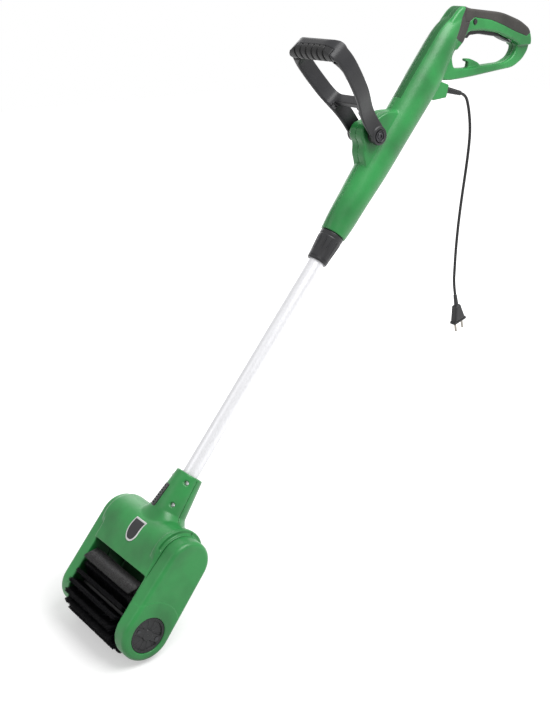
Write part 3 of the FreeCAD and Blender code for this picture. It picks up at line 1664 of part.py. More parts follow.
def arm_hollow():
    """The hollow of the plain arm, around its bearing seat."""
    bore = size("arm_bore")
    wall = size("shell_wall")
    mouth = size("mouth_half_width")
    axle = size("axle_spacing")
    space = hull(bore, bore, wall - size("head_half_width"), -mouth - size("seat_wall"))
    chamber = rod_x(size("barrel_bore"), wall - size("barrel_reach"), -mouth, z=axle)
    seat = rod_x(size("seat_radius"), -size("bearing_end"), -mouth)
    return space.fuse(chamber).cut(seat)


def head_bores():
    """Bearing seats, shaft holes, the tube's socket and the lead's way in."""
    overrun = size("overrun")
    axle = size("axle_spacing")
    start = size("bearing_start")
    end = size("bearing_end")
    motor_start = size("motor_bearing_start")
    motor_end = motor_start + size("motor_bearing_width")
    case = size("belt_case_wall") + overrun
    bores = []
    for side in SIDES:
        low, high = sorted((side * start, side * end))
        bores.append(rod_x(size("spindle_bearing_radius"), low, high))
        low, high = sorted((side * motor_start, side * motor_end))
        bores.append(rod_x(size("motor_bearing_radius"), low, high, z=axle))
    spindle = size("spindle_radius + moving_gap")
    bores.append(rod_x(spindle, -start, start))
    bores.append(rod_x(size("shaft_radius + moving_gap"), 0, case, z=axle))
    socket = size("tube_bottom")
    bores.append(rod_z(size("tube_radius"), socket, size("neck_top") + overrun))
    bores.append(rod_z(size("lead_diameter / 2 + moving_gap"), axle + size("stator_radius"), socket))
    return bores


def head_screw_rows():
    """Case screws of the head: x, z, depth of the case there and the head's side."""
    rows = []
    axle = size("axle_spacing")
    radius = size("barrel_radius")
    post_x = size("motor_bearing_start - screw_post_radius / 2")
    rise = radius - size("screw_post_radius + shell_wall")
    depth = math.sqrt(radius ** 2 - rise ** 2) - size("shell_wall")
    for side in SIDES:
        for up in SIDES:
            rows.append((side * post_x, axle + up * rise, depth, 1))
    arm_x = -size("mouth_half_width + head_half_width") / 2
    rows.append((arm_x, axle / 2, size("arm_radius - shell_wall"), 1))
    return rows


def neck_screw_rows():
    """Case screws of the neck, beside the tube, driven from the front."""
    rows = []
    for side, drop_share in NECK_SCREW_SHARES:
        height = size("neck_top") - drop_share * size("neck_length")
        radius = size("neck_top_radius") + drop_share * size("neck_foot_radius - neck_top_radius")
        x = (size("tube_radius") + radius) / 2
        depth = math.sqrt(radius ** 2 - x ** 2) - size("screw_sink")
        rows.append((side * x, height, depth, -1))
    return rows


def case_screw(x, z, depth, head_side):
    """A case screw along Y whose head sits on one side."""
    head = size("screw_head_height")
    low, high = sorted((head_side * (depth - head), -head_side * (depth - head) / 2))
    shank = rod_y(size("screw_radius"), low, high, x, z)
    low, high = sorted((head_side * (depth - head), head_side * depth))
    return shank.fuse(rod_y(size("screw_head_radius"), low, high, x, z))


def case_screw_cuts(x, z, depth, head_side):
    """The bore of a case screw and the way in for its head."""
    gap = size("running_gap")
    head = size("screw_head_height")
    low, high = sorted((head_side * (depth - head), -head_side * ((depth - head) / 2 + gap)))
    bore = rod_y(size("screw_radius") + gap, low, high, x, z)
    outside = size("neck_foot_radius + barrel_radius")
    low, high = sorted((head_side * (depth - head), head_side * outside))
    return [bore, rod_y(size("screw_head_radius") + size("moving_gap"), low, high, x, z)]


def vent_block(swell, depth):
    """The vent panel on the front of the neck, between two swells of the neck's surface."""
    half = size("vent_width / 2")
    middle = -size("vent_side_offset")
    centre = size("neck_top - vent_drop")
    rise = size("vent_height / 2")
    front = -size("neck_foot_radius + overrun")
    window = block((middle - half, front, centre - rise), (middle + half, 0, centre + rise))
    return neck_surface(swell).common(window).cut(neck_surface(-depth))


def vent_slits():
    """Slits across the vent panel."""
    slit = size("vent_slit")
    half = size("vent_width / 2 - vent_slit")
    middle = -size("vent_side_offset")
    low = size("neck_top - vent_drop - vent_height / 2")
    front = -size("neck_foot_radius + overrun")
    pitch = size("vent_height") / (VENT_SLITS + 1)
    slits = []
    for index in range(1, VENT_SLITS + 1):
        height = low + pitch * index
        slits.append(block((middle - half, front, height - slit / 2),
                           (middle + half, 0, height + slit / 2)))
    return slits


def make_head_shells():
    """The head's front and rear shells, its vent panel and its screws."""
    screws = head_screw_rows()
    neck = neck_screw_rows()
    posts = []
    for x, z, depth, _ in screws:
        posts.append(rod_y(size("screw_post_radius"), -depth, depth, x, z))
    vent = vent_block(size("vent_proud"), size("vent_thickness"))
    spaces = [motor_hollow().cut(posts), arm_hollow().cut(posts)]
    cuts = spaces + head_bores() + tube_pins() + [vent] + belt_screw_cuts()
    for row in screws + neck:
        cuts += case_screw_cuts(*row)
    shell = head_outer().cut(cuts)
    reach = size("neck_top")
    front = block((-reach, -reach, -reach), (reach, 0, reach + reach))
    rear = block((-reach, 0, -reach), (reach, reach, reach + reach))
    shape_node("head_front_shell", "stick", one_solid(shell.common(front)))
    shape_node("head_rear_shell", "stick", one_solid(shell.common(rear)))
    shape_node("neck_vent", "stick", one_solid(vent.cut(vent_slits())))
    shape_node("head_screws", "stick", Part.Compound([case_screw(*row) for row in screws]))
    shape_node("neck_screws", "stick", Part.Compound([case_screw(*row) for row in neck]))
    shape_node("tube_pins", "stick", Part.Compound(tube_pins()))


def belt_screw_places():
    """Where screws hold the belt cover: y and z, outside the belt's runs."""
    y = size("arm_radius - shell_wall - screw_post_radius / 2")
    return [(side * y, size("axle_spacing / 2")) for side in SIDES]


def belt_screw_cuts():
    """Bores through the plate for the belt cover's screws, heads sunk in the mouth."""
    cuts = []
    gap = size("running_gap")
    mouth = size("mouth_half_width")
    for y, z in belt_screw_places():
        cuts.append(rod_x(size("screw_radius") + gap, mouth, size("belt_case_wall"), y, z))
        head = mouth + size("screw_head_height")
        cuts.append(rod_x(size("screw_head_radius") + gap, mouth, head, y, z))
    return cuts


def make_belt_cover():
    """The cover over the belt, with posts for its screws and a ledge for the axle cap."""
    foot_radius = size("cover_foot_radius")
    top_radius = size("cover_top_radius")
    wall = size("shell_wall")
    inner = size("belt_case_wall")
    outer = size("cover_face")
    cover = hull(foot_radius, top_radius, inner, outer)
    cover = cover.makeFillet(size("arm_edge_radius"), edges_at(cover, "X", outer))
    ledge_foot = size("cap_back - cap_ledge_thickness")
    hole = size("cap_radius + moving_gap")
    ledge_outer = hole + wall
    ledge_inner = size("cap_radius - cap_ledge_width")
    ledge = rod_x(ledge_outer, ledge_foot, outer)
    posts = []
    cuts = []
    screw_end = inner + size("belt_screw_length")
    for y, z in belt_screw_places():
        posts.append(rod_x(size("screw_post_radius"), inner, outer - wall, y, z))
        cuts.append(rod_x(size("screw_radius"), inner, screw_end, y, z))
    space = hull(foot_radius - wall, top_radius - wall, inner, outer - wall).cut(posts + [ledge])
    cuts += [space, rod_x(hole, size("cap_back"), outer), rod_x(ledge_inner, ledge_foot, outer)]
    cuts += cap_screws()
    shape_node("belt_cover", "stick", one_solid(cover.cut(cuts)))
    screws = []
    for y, z in belt_screw_places():
        mouth = size("mouth_half_width")
        seat = mouth + size("screw_head_height")
        head = rod_x(size("screw_head_radius"), mouth, seat, y, z)
        screws.append(head.fuse(rod_x(size("screw_radius"), seat, screw_end, y, z)))
    shape_node("belt_cover_screws", "stick", Part.Compound(screws))


def cap_screws():
    """Two screws that hold the axle cap on its ledge."""
    screws = []
    face = size("cap_face")
    seat = face - size("screw_head_height")
    foot = size("cap_back - cap_ledge_thickness")
    for side in SIDES:
        y = side * size("cap_screw_radius")
        shank = rod_x(size("screw_radius"), foot, seat, y)
        screws.append(shank.fuse(rod_x(size("screw_head_radius"), seat, face, y)))
    return screws


def make_axle_cap():
    """The round cap over the brush axle: a dished disc with a bar across it."""
    radius = size("cap_radius")
    face = size("cap_face")
    floor = face - size("cap_dish")
    bar_half = size("cap_bar_half_width")
    disc = rod_x(radius, size("cap_back"), face)
    dish = rod_x(radius - size("cap_rim"), floor, face)
    bar = block((floor, -radius, -bar_half), (face, radius, bar_half))
    cap = disc.cut(dish.cut(bar)).cut(cap_screws())
    shape_node("axle_cap", "stick", cap)
    shape_node("axle_cap_screws", "stick", Part.Compound(cap_screws()))


# Motor

def ring(inner, outer, low, high):
    """The outline of a plain ring: radii, then the two places along the axle."""
    return [(inner, low), (outer, low), (outer, high), (inner, high)]


def make_motor():
    """Bearings, shaft, armature, commutator and fan about the motor axle."""
    start = "motor_bearing_start"
    end = "motor_bearing_start + motor_bearing_width"
    bore = "shaft_radius + running_gap"
    turn_body("motor_bearing_belt_side", "motor axle",
              ring(bore, "motor_bearing_radius", start, end))
    turn_body("motor_bearing_plain_side", "motor axle",
              ring(bore, "motor_bearing_radius", f"-({end})", f"-({start})"))
    turn_body("motor_shaft", "motor axle", [
        ("0", f"-({end})"),
        ("shaft_radius", f"-({end})"),
        ("shaft_radius", "pulley_end"),
        ("0", "pulley_end"),
    ])
    core = turn_body("armature_core", "motor axle",
                     ring("shaft_radius", "rotor_radius", "-stack_half_length",
                          "stack_half_length"))
    slot = cut_polygon(core, "XY_Plane", [
        ("rotor_radius - rotor_slot_depth", "-rotor_slot / 2"),
        ("rotor_radius + overrun", "-rotor_slot / 2"),
        ("rotor_radius + overrun", "rotor_slot / 2"),
        ("rotor_radius - rotor_slot_depth", "rotor_slot / 2"),
    ], "Slot")
    repeat_around(core, slot, ROTOR_SLOTS, "Slots")
    winding_end = "stack_half_length + winding_length"
    for side, low, high in [("belt", "stack_half_length", winding_end),
                            ("plain", f"-({winding_end})", "-stack_half_length")]:
        turn_body(f"winding_{side}_side", "motor axle",
                  ring("shaft_radius", "winding_radius", low, high))
    commutator = turn_body("commutator", "motor axle",
                           ring("shaft_radius", "commutator_radius",
                                "-commutator_start - commutator_length", "-commutator_start"))
    slit = cut_polygon(commutator, "XY_Plane", [
        ("commutator_radius - air_gap", "-air_gap / 2"),
        ("commutator_radius + overrun", "-air_gap / 2"),
        ("commutator_radius + overrun", "air_gap / 2"),
        ("commutator_radius - air_gap", "air_gap / 2"),
    ], "Slit")
    repeat_around(commutator, slit, ROTOR_SLOTS, "Slits")


def make_fan():
    """The cooling fan: a hub, a plate and straight blades."""
    axle = size("axle_spacing")
    low = size("fan_start")
    high = low + size("fan_width")
    radius = size("fan_radius")
    blade = size("fan_blade / 2")
    hub = rod_x(size("fan_hub_radius"), low, high, z=axle)
    pieces = [hub, rod_x(radius, high - size("fan_plate"), high, z=axle)]
    for index in range(FAN_BLADES):
        vane = block((low, -blade, axle), (high, blade, axle + radius - blade))
        vane.rotate(VECTOR(0, 0, axle), X_DIRECTION, FULL_TURN * index / FAN_BLADES)
        pieces.append(vane)
    fan = joined(pieces).cut(rod_x(size("shaft_radius"), low, high, z=axle))
    shape_node("cooling_fan", "stick", fan)


def make_stator():
    """The stator's yoke with two poles, and the ends of its two field coils."""
    axle = size("axle_spacing")
    half = size("stack_half_length")
    outer = size("stator_radius")
    yoke = size("coil_radius")
    pole = size("pole_radius")
    width = size("pole_half_width")
    stack = rod_x(outer, -half, half, z=axle)
    window = rod_x(yoke, -half, half, z=axle)
    poles = block((-half, -outer, axle - width), (half, outer, axle + width))
    window = window.cut(poles).fuse(rod_x(pole, -half, half, z=axle))
    shape_node("stator", "stick", stack.cut(window))
    overhang = size("coil_overhang")
    depth = size("coil_depth")
    coils = []
    for side in SIDES:
        low, high = sorted((side * half, side * (half + overhang)))
        end = rod_x(yoke, low, high, z=axle).cut(rod_x(yoke - depth, low, high, z=axle))
        coils.append(end)
    shape_node("field_coils", "stick", Part.Compound(coils))


def make_carbon_holders():
    """Two holders on the bearing's bulkhead with their carbon brushes."""
    axle = size("axle_spacing")
    inner = -size("motor_bearing_start")
    outer = inner + size("brush_holder_length")
    half = size("brush_holder_width / 2")
    wall = size("carbon_wall")
    low = size("commutator_radius + air_gap")
    high = size("coil_radius")
    holders = []
    carbons = []
    for side in SIDES:
        low_z, high_z = sorted((axle + side * low, axle + side * high))
        box = block((inner, -half, low_z), (outer, half, high_z))
        carbon = block((inner + wall, wall - half, low_z), (outer - wall, half - wall, high_z))
        holders.append(box.cut(carbon))
        carbons.append(carbon)
    shape_node("brush_holders", "stick", Part.Compound(holders))
    shape_node("carbon_brushes", "stick", Part.Compound(carbons))


# Belt drive and brush

def grooved_outline(bore, rim):
    """A pulley's outline: a bore and a rim with small V grooves."""
    points = [(bore, "pulley_start"), (rim, "pulley_start")]
    for index in range(1, PULLEY_GROOVES + 1):
        middle = f"pulley_start + pulley_width * {index} / {PULLEY_GROOVES + 1}"
        points += [(rim, f"{middle} - pulley_groove"), (f"{rim} - pulley_groove", middle),
                   (rim, f"{middle} + pulley_groove")]
    return points + [(rim, "pulley_end"), (bore, "pulley_end")]


def make_pulleys():
    turn_body("drive_pulley", "motor axle", grooved_outline("shaft_radius", "drive_pulley_radius"))
    driven = turn_body("driven_pulley", "brush axle",
                       grooved_outline("spindle_radius", "driven_pulley_radius"))
    middle = "(spindle_radius + driven_pulley_radius) / 2"
    hole = cut_round(driven, "XY_Plane", middle, "0", "pulley_web_hole", "WebHole")
    repeat_around(driven, hole, WEB_HOLES, "WebHoles")


def make_drive_belt():
    """The belt: an even band around both pulleys, just clear of them."""
    gap = size("moving_gap")
    thickness = size("belt_thickness")
    low = size("pulley_start + belt_side_gap")
    high = size("pulley_end - belt_side_gap")
    large = size("driven_pulley_radius") + gap
    small = size("drive_pulley_radius") + gap
    band = hull(large + thickness, small + thickness, low, high)
    shape_node("drive_belt", "stick", band.cut(hull(large, small, low, high)))


def make_brush():
    """The spindle in its bearings, the core and its rows of bristles."""
    bore = "spindle_radius + running_gap"
    turn_body("spindle_bearing_belt_side", "brush axle",
              ring(bore, "spindle_bearing_radius", "bearing_start", "bearing_end"))
    turn_body("spindle_bearing_plain_side", "brush axle",
              ring(bore, "spindle_bearing_radius", "-bearing_end", "-bearing_start"))
    turn_body("brush_spindle", "brush axle", [
        ("0", "-bearing_end"),
        ("spindle_radius", "-bearing_end"),
        ("spindle_radius", "spindle_end"),
        ("0", "spindle_end"),
    ])
    turn_body("brush_core", "brush axle", [
        ("spindle_radius", "-core_half_length"),
        ("core_radius", "-core_half_length"),
        ("core_radius", "core_half_length"),
        ("spindle_radius", "core_half_length"),
        ("spindle_radius", "core_half_length - core_end"),
        ("core_radius - core_wall", "core_half_length - core_end"),
        ("core_radius - core_wall", "core_end - core_half_length"),
        ("spindle_radius", "core_end - core_half_length"),
    ])
    half = size("core_half_length")
    thickness = size("bristle_thickness / 2")
    core = rod_x(size("core_radius"), -half, half)
    rows = []
    for index in range(BRISTLE_ROWS):
        row = block((-half, -thickness, 0), (half, thickness, size("brush_radius")))
        row.rotate(VECTOR(0, 0, 0), X_DIRECTION, FULL_TURN * index / BRISTLE_ROWS)
        rows.append(row.cut(core))
    shape_node("bristle_rows", "stick", Part.Compound(rows))


def build():
    """Makes every piece."""
    make_tube()
    make_tube_end_plug()
    make_inner_lead()
    make_lock_collar()
    make_tube_collet()
    make_guide_bush()
    make_housing()
    make_trigger()
    make_lock_button()
    make_switch()
    make_capacitor()
    make_cord_gland()
    make_supply_lead()
    make_cord()
    make_plug()
    make_front_handle()
    make_pivot_bolt()
    make_detent_discs()
    make_head_shells()
    make_belt_cover()
    make_axle_cap()
    make_motor()
    make_fan()
    make_stator()
    make_carbon_holders()
    make_pulleys()
    make_drive_belt()
    make_brush()


def check_and_write():
    """Checks every object, then writes each node to its own file."""
    DOCUMENT.recompute()
    for item in DOCUMENT.Objects:
        if "Invalid" in item.State or "Error" in item.State:
            raise RuntimeError(f"{item.Label} is {item.State}")
    for node in NODES:
        if node.Shape.isNull() or not node.Shape.isValid():
            raise RuntimeError(f"{node.Label} has no valid shape")
    os.makedirs("parts", exist_ok=True)
    for node in NODES:
        node.Shape.exportStep(f"parts/{node.Label}.step")
    print(len(NODES), "nodes written")


build()
check_and_write()
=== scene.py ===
"""Patio cleaner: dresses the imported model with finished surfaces, lights and a camera."""
import bmesh
import bpy
import json
import math
import numpy as np
from bpy.props import FloatProperty, FloatVectorProperty, IntProperty, PointerProperty
from mathutils import Matrix, Vector


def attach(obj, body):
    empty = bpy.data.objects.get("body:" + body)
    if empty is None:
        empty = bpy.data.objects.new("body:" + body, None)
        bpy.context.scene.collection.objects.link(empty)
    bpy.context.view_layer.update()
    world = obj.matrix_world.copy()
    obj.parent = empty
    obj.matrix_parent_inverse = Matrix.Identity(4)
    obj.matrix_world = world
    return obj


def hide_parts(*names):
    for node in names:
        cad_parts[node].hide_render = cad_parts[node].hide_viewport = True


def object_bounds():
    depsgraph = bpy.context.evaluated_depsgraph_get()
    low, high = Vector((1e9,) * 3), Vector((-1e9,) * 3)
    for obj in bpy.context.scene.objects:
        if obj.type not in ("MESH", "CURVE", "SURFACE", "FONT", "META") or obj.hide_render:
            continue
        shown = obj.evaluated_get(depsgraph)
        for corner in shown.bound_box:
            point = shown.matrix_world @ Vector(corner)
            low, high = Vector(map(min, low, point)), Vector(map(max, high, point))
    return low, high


bl_info = {
    "name": "Patio Cleaner",
    "version": (1, 0, 0),
    "blender": (4, 5, 0),
    "location": "View3D > Sidebar > Patio Cleaner",
    "description": "Builds the visible pieces of a corded patio cleaner",
    "category": "Object",
}

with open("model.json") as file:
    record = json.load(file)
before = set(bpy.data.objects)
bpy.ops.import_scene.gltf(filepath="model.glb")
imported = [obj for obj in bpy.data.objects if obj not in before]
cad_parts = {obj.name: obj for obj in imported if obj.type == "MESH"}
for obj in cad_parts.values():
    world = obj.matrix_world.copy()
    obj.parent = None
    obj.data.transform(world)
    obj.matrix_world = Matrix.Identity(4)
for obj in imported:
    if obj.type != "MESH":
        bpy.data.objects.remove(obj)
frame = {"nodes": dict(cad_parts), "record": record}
CAD_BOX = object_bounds()

MM = 0.001
LEAN = math.radians(40.5)
GRIP_STATION = 1242.5
GRIP_SETBACK = 80.6
AXLE_SPACING = 125.0
BOLT = (-51.0, 904.0)
STRIP_FOOT = 992.0
CORD_RADIUS = 2.75
COLLAR_FOOT = 674
COLLAR_STEPS = 288
OVAL_STEPS = 28
CAP_STEPS = 144
CAP_FACE = 108.4
CAP_BACK = 105.1
BADGE_ROWS = 41
BADGE_COLUMNS = 33
BADGE_TEST_FACE = 600
BRISTLE_RADIUS = 0.42
BENT_TURN = math.radians(335.5)
LENS = 51.5
SENSOR = 36.0
CAMERA_PLACE = (1.2986, -1.5660, 0.1078)
CAMERA_RIGHT = (0.6264, 0.7795, 0.0)
CAMERA_BACK = (0.7265, -0.5838, 0.3625)
ALONG = np.array([0.0, math.sin(LEAN), math.cos(LEAN)])
BEHIND = np.array([0.0, math.cos(LEAN), -math.sin(LEAN)])
ACROSS = np.array([1.0, 0.0, 0.0])


# Places

def on_stick(points):
    """Points (x, y, z) in mm of the stick's axes, from the brush axle, as metres of the shared frame."""
    points = np.asarray(points, float)
    back = (points[..., 1] - GRIP_SETBACK)[..., None] * BEHIND
    up = (points[..., 2] - GRIP_STATION)[..., None] * ALONG
    return (points[..., :1] * ACROSS + back + up) * MM


def on_line(start, direction):
    """A function that places points (x, y, z) in mm: z along a direction from a start, x across."""
    start = np.asarray(start, float)
    direction = np.asarray(direction, float)
    direction = direction / np.linalg.norm(direction)
    side = np.cross(direction, ACROSS)

    def place(points):
        """Those points as metres of the shared frame."""
        points = np.asarray(points, float)
        return (start + points[..., :1] * ACROSS + points[..., 1:2] * side
                + points[..., 2:] * direction) * MM
    return place


# Meshes

def grid_faces(rows, columns, round_rows, round_columns):
    """Quads between neighbours of a rows by columns grid, closed round on itself where asked."""
    row = np.arange(rows if round_rows else rows - 1)
    column = np.arange(columns if round_columns else columns - 1)
    row, column = np.meshgrid(row, column, indexing="ij")
    below = (row + 1) % rows
    beside = (column + 1) % columns
    corners = [row * columns + column, row * columns + beside,
               below * columns + beside, below * columns + column]
    return np.stack(corners, -1).reshape(-1, 4)


def mesh_from(name, points, quads, outward=True):
    """A mesh of quads over points in metres, its faces turned outwards where asked."""
    mesh = bpy.data.meshes.new(name)
    points = np.asarray(points, np.float32).reshape(-1, 3)
    quads = np.asarray(quads, np.int32)
    mesh.vertices.add(len(points))
    mesh.vertices.foreach_set("co", points.ravel())
    mesh.loops.add(quads.size)
    mesh.loops.foreach_set("vertex_index", quads.ravel())
    mesh.polygons.add(len(quads))
    mesh.polygons.foreach_set("loop_start", np.arange(0, quads.size, quads.shape[1], dtype=np.int32))
    mesh.update(calc_edges=True)
    mesh.validate()
    if outward:
        turn_outward(mesh)
    return mesh


def turn_outward(mesh):
    """Merges doubles and turns every face outwards."""
    work = bmesh.new()
    work.from_mesh(mesh)
    bmesh.ops.remove_doubles(work, verts=work.verts, dist=1e-6)
    bmesh.ops.recalc_face_normals(work, faces=work.faces)
    work.to_mesh(mesh)
    work.free()


def put(name, mesh, body, material, replaced=(), sharp=35):
    """Links a finished mesh as a piece that rides on a body and stands for CAD nodes."""
    mesh.shade_smooth()
    if sharp:
        mesh.set_sharp_from_angle(angle=math.radians(sharp))
    piece = bpy.data.objects.new(name, mesh)
    bpy.context.scene.collection.objects.link(piece)
    mesh.materials.clear()
    mesh.materials.append(bpy.data.materials[material])
    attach(piece, body)
    if replaced:
        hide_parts(*replaced)
    return piece


def turned(profile, segments, closed=True):
    """A profile of (radius, height) turned about z: x = r cos t, y = r sin t, z = h."""
    profile = np.asarray(profile, float)
    angle = np.linspace(0, 2 * math.pi, segments, endpoint=False)
    radius, height = profile[:, :1], profile[:, 1:2]
    points = np.stack([radius * np.cos(angle), radius * np.sin(angle),
                       height + 0 * angle], -1)
    return points, grid_faces(len(profile), segments, closed, True)


def about_x(points):
    """Turns points made about z so that their axis is x."""
    return np.stack([points[..., 2], points[..., 0], points[..., 1]], -1)


def smooth_step(value, low, high):
    """0 below low, 1 above high, with a smooth cubic between."""
    share = np.clip((value - low) / (high - low), 0, 1)
    return share * share * (3 - 2 * share)


def moulded(name, nodes, body, material, voxel, softening, slimmer=0.0):
    """A moulded copy of CAD nodes: their skins merged, filled with an even net and its edges softened."""
    work = bmesh.new()
    for node in nodes:
        work.from_mesh(frame["nodes"][node].data)
    bmesh.ops.remove_doubles(work, verts=work.verts, dist=2e-6)
    mesh = bpy.data.meshes.new(name)
    work.to_mesh(mesh)
    work.free()
    piece = put(name, mesh, body, material, nodes, sharp=0)
    net = piece.modifiers.new("Net", "REMESH")
    net.mode = "VOXEL"
    net.voxel_size = voxel * MM
    net.use_smooth_shade = True
    soft = piece.modifiers.new("Soft edges", "SMOOTH")
    soft.factor = 0.5
    soft.iterations = softening
    if slimmer:
        inward = piece.modifiers.new("Slimmer", "DISPLACE")
        inward.mid_level = 0.0
        inward.strength = -slimmer * MM
    return piece


# Node groups and materials

def new_group(name, inputs, outputs):
    """A shader node group with named sockets; returns the group with its two end nodes."""
    group = bpy.data.node_groups.new(name, "ShaderNodeTree")
    for label, kind, value in inputs:
        socket = group.interface.new_socket(name=label, in_out="INPUT", socket_type=kind)
        socket.default_value = value
    for label, kind in outputs:
        group.interface.new_socket(name=label, in_out="OUTPUT", socket_type=kind)
    start = group.nodes.new("NodeGroupInput")
    end = group.nodes.new("NodeGroupOutput")
    return group, start, end


def add(tree, kind, **values):
    """A new node with some of its own values or input sockets set."""
    node = tree.nodes.new(kind)
    for key, value in values.items():
        if hasattr(node, key):
            setattr(node, key, value)
        else:
            node.inputs[key.replace("_", " ")].default_value = value
    return node


def noise(tree, coordinates, scale, detail=2.0, rough=0.5):
    """The value of a noise texture over some coordinates."""
    node = add(tree, "ShaderNodeTexNoise", Scale=scale, Detail=detail, Roughness=rough)
    tree.links.new(coordinates, node.inputs["Vector"])
    return node.outputs["Fac"]


def maths(tree, operation, first, second=None):
    """A Math node on sockets or numbers."""
    node = add(tree, "ShaderNodeMath", operation=operation)
    for index, value in enumerate((first, second)):
        if value is None:
            continue
        if isinstance(value, (int, float)):
            node.inputs[index].default_value = value
        else:
            tree.links.new(value, node.inputs[index])
    return node.outputs[0]


def ramp(tree, value, low, high):
    """Maps a value's range low to high onto 0 to 1, clamped."""
    node = add(tree, "ShaderNodeMapRange")
    node.inputs["From Min"].default_value = low
    node.inputs["From Max"].default_value = high
    tree.links.new(value, node.inputs["Value"])
    return node.outputs["Result"]


def moulding_group():
    """Spark-eroded grain of a mould, soft flow marks and fine scuffs, from Object coordinates in metres."""
    group, start, end = new_group(
        "Moulded Surface",
        [("Grain Size", "NodeSocketFloat", 1600.0), ("Scuffs", "NodeSocketFloat", 0.5)],
        [("Flow", "NodeSocketFloat"), ("Scuff Mask", "NodeSocketFloat"), ("Height", "NodeSocketFloat")])
    place = add(group, "ShaderNodeTexCoord").outputs["Object"]
    grain = add(group, "ShaderNodeTexNoise", Detail=3.0, Roughness=0.6)
    group.links.new(place, grain.inputs["Vector"])
    group.links.new(start.outputs["Grain Size"], grain.inputs["Scale"])
    flow = noise(group, place, 14.0, 3.0, 0.5)
    stretch = add(group, "ShaderNodeMapping")
    stretch.inputs["Scale"].default_value = (1.0, 6.0, 1.4)
    stretch.inputs["Rotation"].default_value = (0.7, 0.2, 0.4)
    group.links.new(place, stretch.inputs["Vector"])
    scratch = noise(group, stretch.outputs["Vector"], 260.0, 4.0, 0.7)
    scuff = maths(group, "MULTIPLY", ramp(group, scratch, 0.62, 0.74), start.outputs["Scuffs"])
    patch = ramp(group, noise(group, place, 22.0, 2.0), 0.5, 0.68)
    scuff = maths(group, "MULTIPLY", scuff, patch)
    height = maths(group, "SUBTRACT", grain.outputs["Fac"], maths(group, "MULTIPLY", scuff, 0.6))
    group.links.new(flow, end.inputs["Flow"])
    group.links.new(scuff, end.inputs["Scuff Mask"])
    group.links.new(height, end.inputs["Height"])


def edge_group():
    """A mask of worn outer edges, from how sharply the surface turns, broken up by noise."""
    group, start, end = new_group("Worn Edges", [("Amount", "NodeSocketFloat", 0.5)],
                                  [("Mask", "NodeSocketFloat")])
    place = add(group, "ShaderNodeTexCoord").outputs["Object"]
    turn = add(group, "ShaderNodeNewGeometry").outputs["Pointiness"]
    edge = ramp(group, turn, 0.53, 0.60)
    broken = ramp(group, noise(group, place, 180.0, 4.0, 0.6), 0.35, 0.65)
    mask = maths(group, "MULTIPLY", maths(group, "MULTIPLY", edge, broken), start.outputs["Amount"])
    group.links.new(mask, end.inputs["Mask"])


def dust_group():
    """Thin pale dust: fine specks and soft clouds."""
    group, start, end = new_group("Fine Dust", [("Amount", "NodeSocketFloat", 0.1)],
                                  [("Mask", "NodeSocketFloat")])
    place = add(group, "ShaderNodeTexCoord").outputs["Object"]
    cloud = ramp(group, noise(group, place, 30.0, 5.0, 0.65), 0.45, 0.8)
    speck = ramp(group, noise(group, place, 900.0, 2.0, 0.5), 0.62, 0.72)
    mask = maths(group, "MULTIPLY", maths(group, "ADD", cloud, maths(group, "MULTIPLY", speck, 0.6)),
                 start.outputs["Amount"])
    group.links.new(mask, end.inputs["Mask"])


def shaded(name, colour, **values):
    """A new material with its Principled shader set; returns its tree and its shader."""
    material = bpy.data.materials.new(name)
    material.use_nodes = True
    tree = material.node_tree
    shader = tree.nodes["Principled BSDF"]
    shader.inputs["Base Color"].default_value = (*colour, 1)
    for key, value in values.items():
        shader.inputs[key.replace("_", " ")].default_value = value
    return tree, shader


def place_group(tree, group, **values):
    """A node that uses a node group, with some of its inputs set."""
    node = tree.nodes.new("ShaderNodeGroup")
    node.node_tree = group
    for key, value in values.items():
        node.inputs[key.replace("_", " ")].default_value = value
    return node


def mixed(tree, mask, first, second):
    """Colour first, with colour second laid over it by a mask."""
    node = add(tree, "ShaderNodeMix", data_type="RGBA")
    tree.links.new(mask, node.inputs["Factor"])
    for index, value in ((6, first), (7, second)):
        if isinstance(value, tuple):
            node.inputs[index].default_value = (*value, 1)
        else:
            tree.links.new(value, node.inputs[index])
    return node.outputs[2]


def bumped(tree, shader, height, strength, distance):
    """Feeds a height to the shader's normal; the distance is in mm."""
    bump = add(tree, "ShaderNodeBump", Strength=strength, Distance=distance * MM)
    tree.links.new(height, bump.inputs["Height"])
    tree.links.new(bump.outputs["Normal"], shader.inputs["Normal"])


